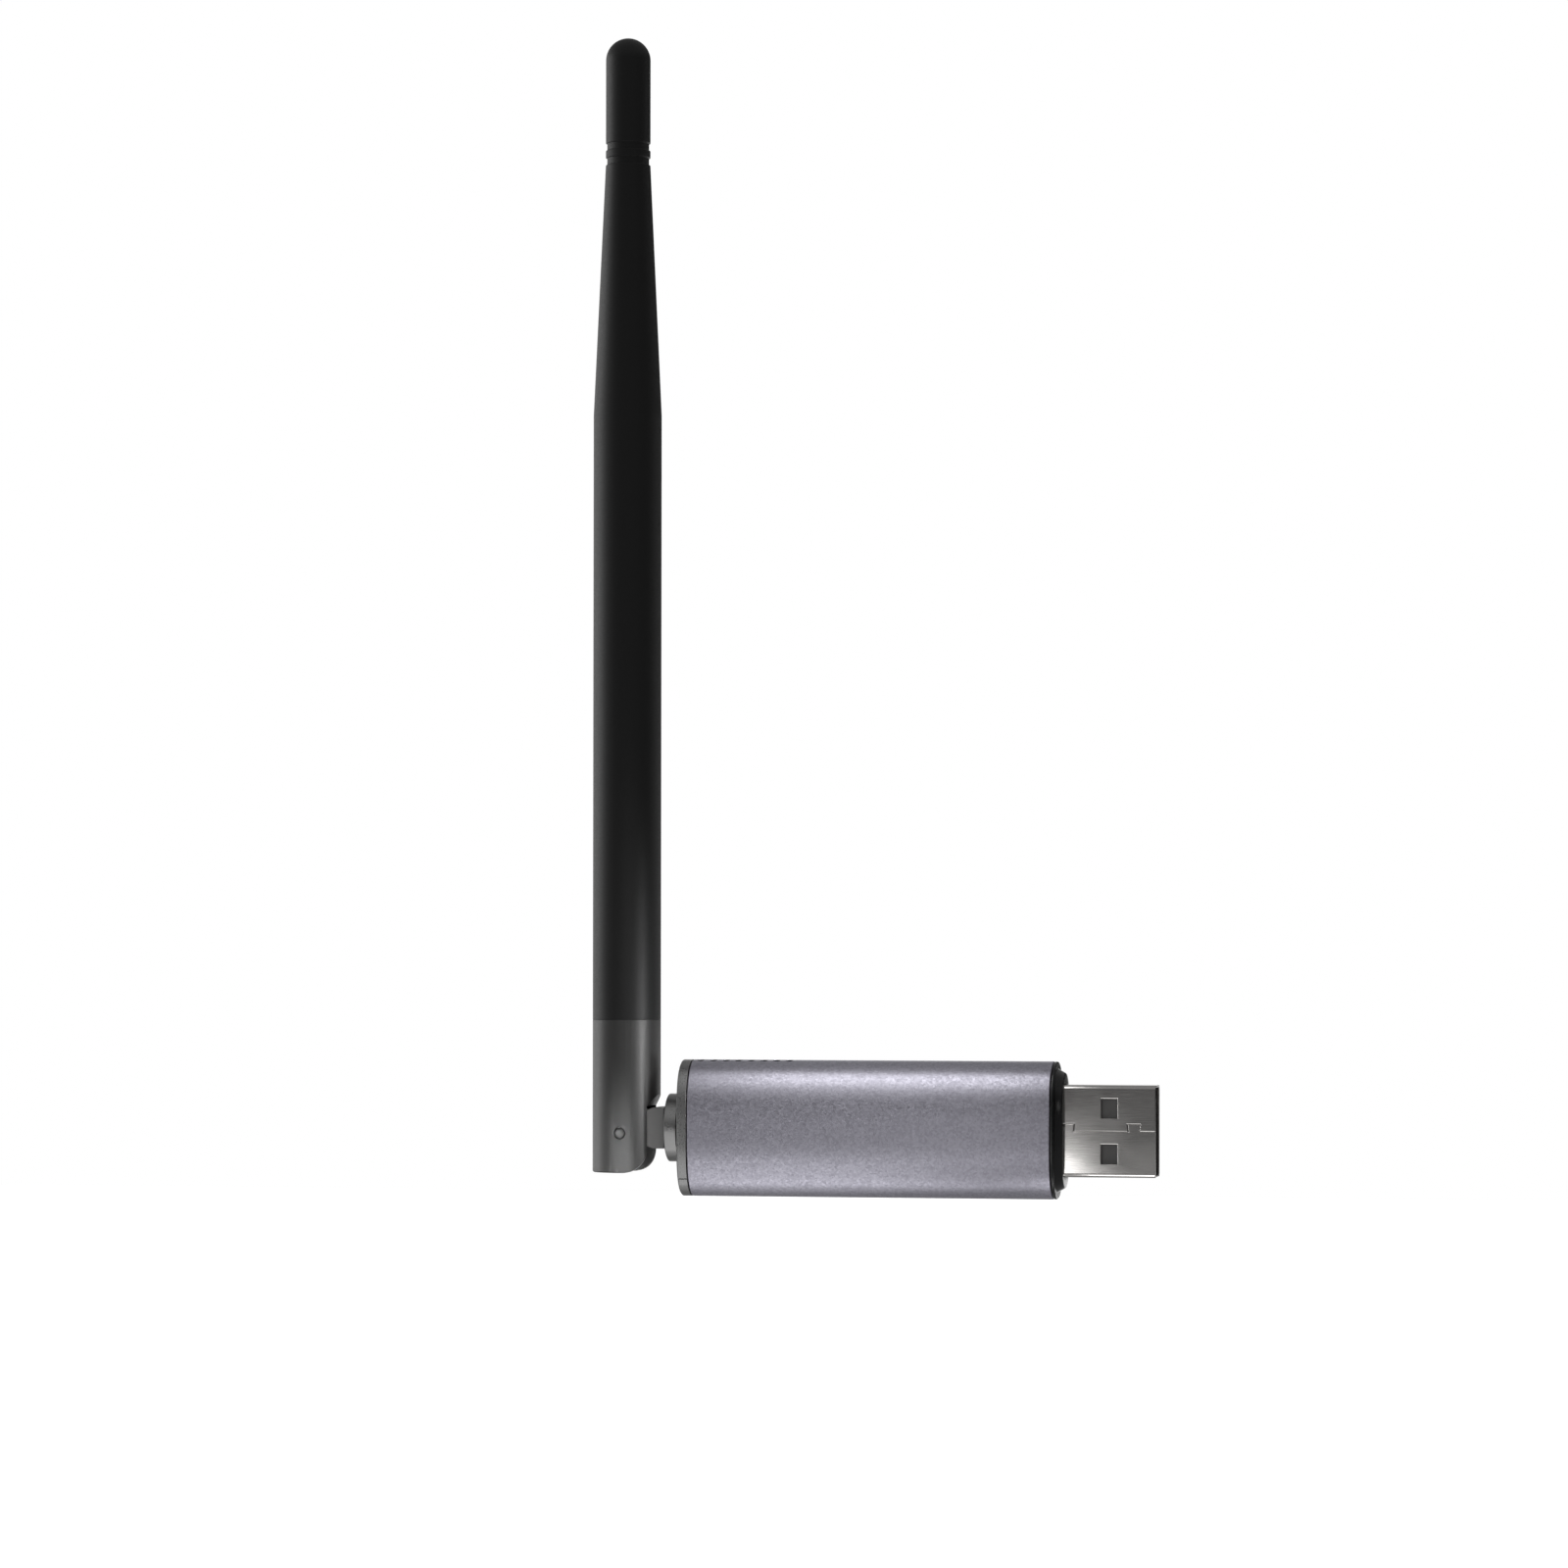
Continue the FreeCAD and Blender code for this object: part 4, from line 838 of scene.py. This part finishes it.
def card_guides():
    """Two pairs of ribs inside the tube, with the board between the ribs of each pair."""
    board_low, board_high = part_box("main_board")
    bm = bmesh.new()
    for side in (-1, 1):
        for near, far in ((board_low.y - GUIDE_PLAY - GUIDE_WIDTH, board_low.y - GUIDE_PLAY),
                          (board_high.y + GUIDE_PLAY, board_high.y + GUIDE_PLAY + GUIDE_WIDTH)):
            heights = sorted((side * GUIDE_TIP, side * (HALF_HEIGHT - WALL / 2)))
            add_block(bm, (TUBE_BACK + GUIDE_SET_BACK, near, heights[0]),
                      (TUBE_FRONT - GUIDE_SET_BACK, far, heights[1]))
    guides = mesh_piece("card_guides", bm)
    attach(guides, "stick")
    paint_piece(guides, "anodised_metal")


# Rear cap: the nut's bore with a small chamfer, and the parting groove on both sides, cut by blocks that
# reach past the cap by CUTTER_SPARE
NUT_BORE = 3.75 * MM
BORE_CHAMFER = 0.1 * MM
PARTING = -6.6 * MM
PARTING_GROOVE = 0.18 * MM
CUTTER_SPARE = 1.0 * MM


def rear_cap():
    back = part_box("rear_cap")[0].x
    start = TUBE_BACK - SEAM
    outside = ovals([
        (SPIGOT_INSET, start, 0),
        (0, start, 0.02 * MM),
        (0, back, 0.16 * MM),
        (2.0 * MM, back, 0),
        (SPIGOT_INSET, back, 0),
    ])
    end = TUBE_BACK + SPIGOT_LENGTH
    rings = [oval(SPIGOT_INSET, end), oval(SPIGOT_INSET, start)] + outside
    rings += [
        circle(NUT_BORE + BORE_CHAMFER, back),
        circle(NUT_BORE, back + BORE_CHAMFER),
        circle(NUT_BORE, end),
    ]
    cap = skin("end_cap", rings)
    bm = bmesh.new()
    height = abs(PARTING) / HALF_HEIGHT
    reach = HALF_DEPTH * math.sqrt(1 - height ** OVAL_POWER) - PARTING_GROOVE
    for side in (-1, 1):
        across = sorted((side * reach, side * (HALF_DEPTH + CUTTER_SPARE)))
        add_block(bm, (back - CUTTER_SPARE, across[0], PARTING - PARTING_GROOVE / 2),
                  (TUBE_BACK, across[1], PARTING + PARTING_GROOVE / 2))
    carve(cap, bm)
    stand_in(cap, "rear_cap")
    # The rear cap gets a darker copy of the neck's grey plastic: its darker colour is painted shade.
    cap.data.materials[0] = PAINT["cap_shaded_plastic"]


# Front cap: the boss round the plug rises from BOSS_BASE to the shoulder. It draws in by BOSS_SLOPE in depth
# and height, and its rim is rounded over the last part of the rise.
BOSS_BASE = -1.0 * MM
BOSS_INSET = 1.0 * MM
BOSS_FOOT = 0.08 * MM
BOSS_SLOPE = (0.3 * MM, 0.5 * MM)
RIM_START = 0.86
RIM_SHARES = (RIM_START, 0.94, 0.985, 1.0)
RIM_ROUND = 0.14 * MM
OPENING = (2.29 * MM, 6.04 * MM)
OPENING_CHAMFER = 0.05 * MM


def front_cap():
    start = TUBE_FRONT + SEAM
    back = TUBE_FRONT - SPIGOT_LENGTH
    outside = ovals([
        (SPIGOT_INSET, start, 0),
        (0, start, 0.06 * MM),
        (0, BOSS_BASE, 0.26 * MM),
        (BOSS_INSET, BOSS_BASE, 0),
        (SPIGOT_INSET, BOSS_BASE + 0.1 * MM, 0),
    ])
    foot = [oval(BOSS_INSET - BOSS_FOOT, BOSS_BASE), oval(BOSS_INSET, BOSS_BASE + BOSS_FOOT)]
    rise = []
    for share in RIM_SHARES:
        over = (share - RIM_START) / (1 - RIM_START)
        bend = RIM_ROUND * (1 - math.sqrt(max(0, 1 - over ** 2)))
        shrink = [step * share for step in BOSS_SLOPE]
        rise.append(oval(BOSS_INSET + bend, BOSS_BASE * (1 - share), shrink))
    rings = [oval(SPIGOT_INSET, back), oval(SPIGOT_INSET, start)] + outside + foot + rise
    rings += [
        window(*[half + OPENING_CHAMFER for half in OPENING], 0),
        window(*OPENING, -OPENING_CHAMFER),
        window(*OPENING, back),
    ]
    stand_in(skin("plug_cap", rings), "front_cap")


# Cable across the pivot
CABLE_BEND = 2.0 * MM
CABLE_STEPS = 24
CABLE_SEGMENTS = 24


def hinge_cable():
    """The cable from the neck's bore, bent up into the yoke."""
    low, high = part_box("hinge_coax")
    radius = (high.y - low.y) / 2
    bend = CABLE_BEND
    line = [Vector((high.x, 0, 0)), Vector((antenna_x + bend, 0, 0))]
    for cosine, sine in quarter(CABLE_STEPS):
        line.append(Vector((antenna_x + bend * (1 - sine), 0, bend * (1 - cosine))))
    line += [Vector((antenna_x, 0, bend)), Vector((antenna_x, 0, high.z))]
    side = Vector((0, 1, 0))
    bm = bmesh.new()
    rings = []
    for index, point in enumerate(line):
        ahead = (line[min(index + 1, len(line) - 1)] - line[max(index - 1, 0)]).normalized()
        out = ahead.cross(side)
        rings.append([
            bm.verts.new(point + (out * cosine + side * sine) * radius)
            for cosine, sine in around(CABLE_SEGMENTS)
        ])
    bridge(bm, rings, closed=False)
    bm.faces.new(rings[0])
    bm.faces.new(rings[-1])
    cable = mesh_piece("hinge_cable", bm)
    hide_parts("hinge_coax")
    paint_piece(cable, SLOTS["hinge_coax"])
    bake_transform(cable)


# Every piece that shows; the other CAD nodes are shown as they are
antenna_cover()
pivot_pin("hinge_pin_front", -1)
pivot_pin("hinge_pin_back", 1)
softened("antenna_yoke", "antenna_fork", 0.12 * MM)
softened("swivel_neck", "neck", 0.10 * MM)
nut()
housing()
vent_shade_sleeves()
card_guides()
rear_cap()
front_cap()
softened("usb_shell", "plug_shell", 0.12 * MM, change=plug_details)
hinge_cable()

scene.view_settings.view_transform = "Standard"
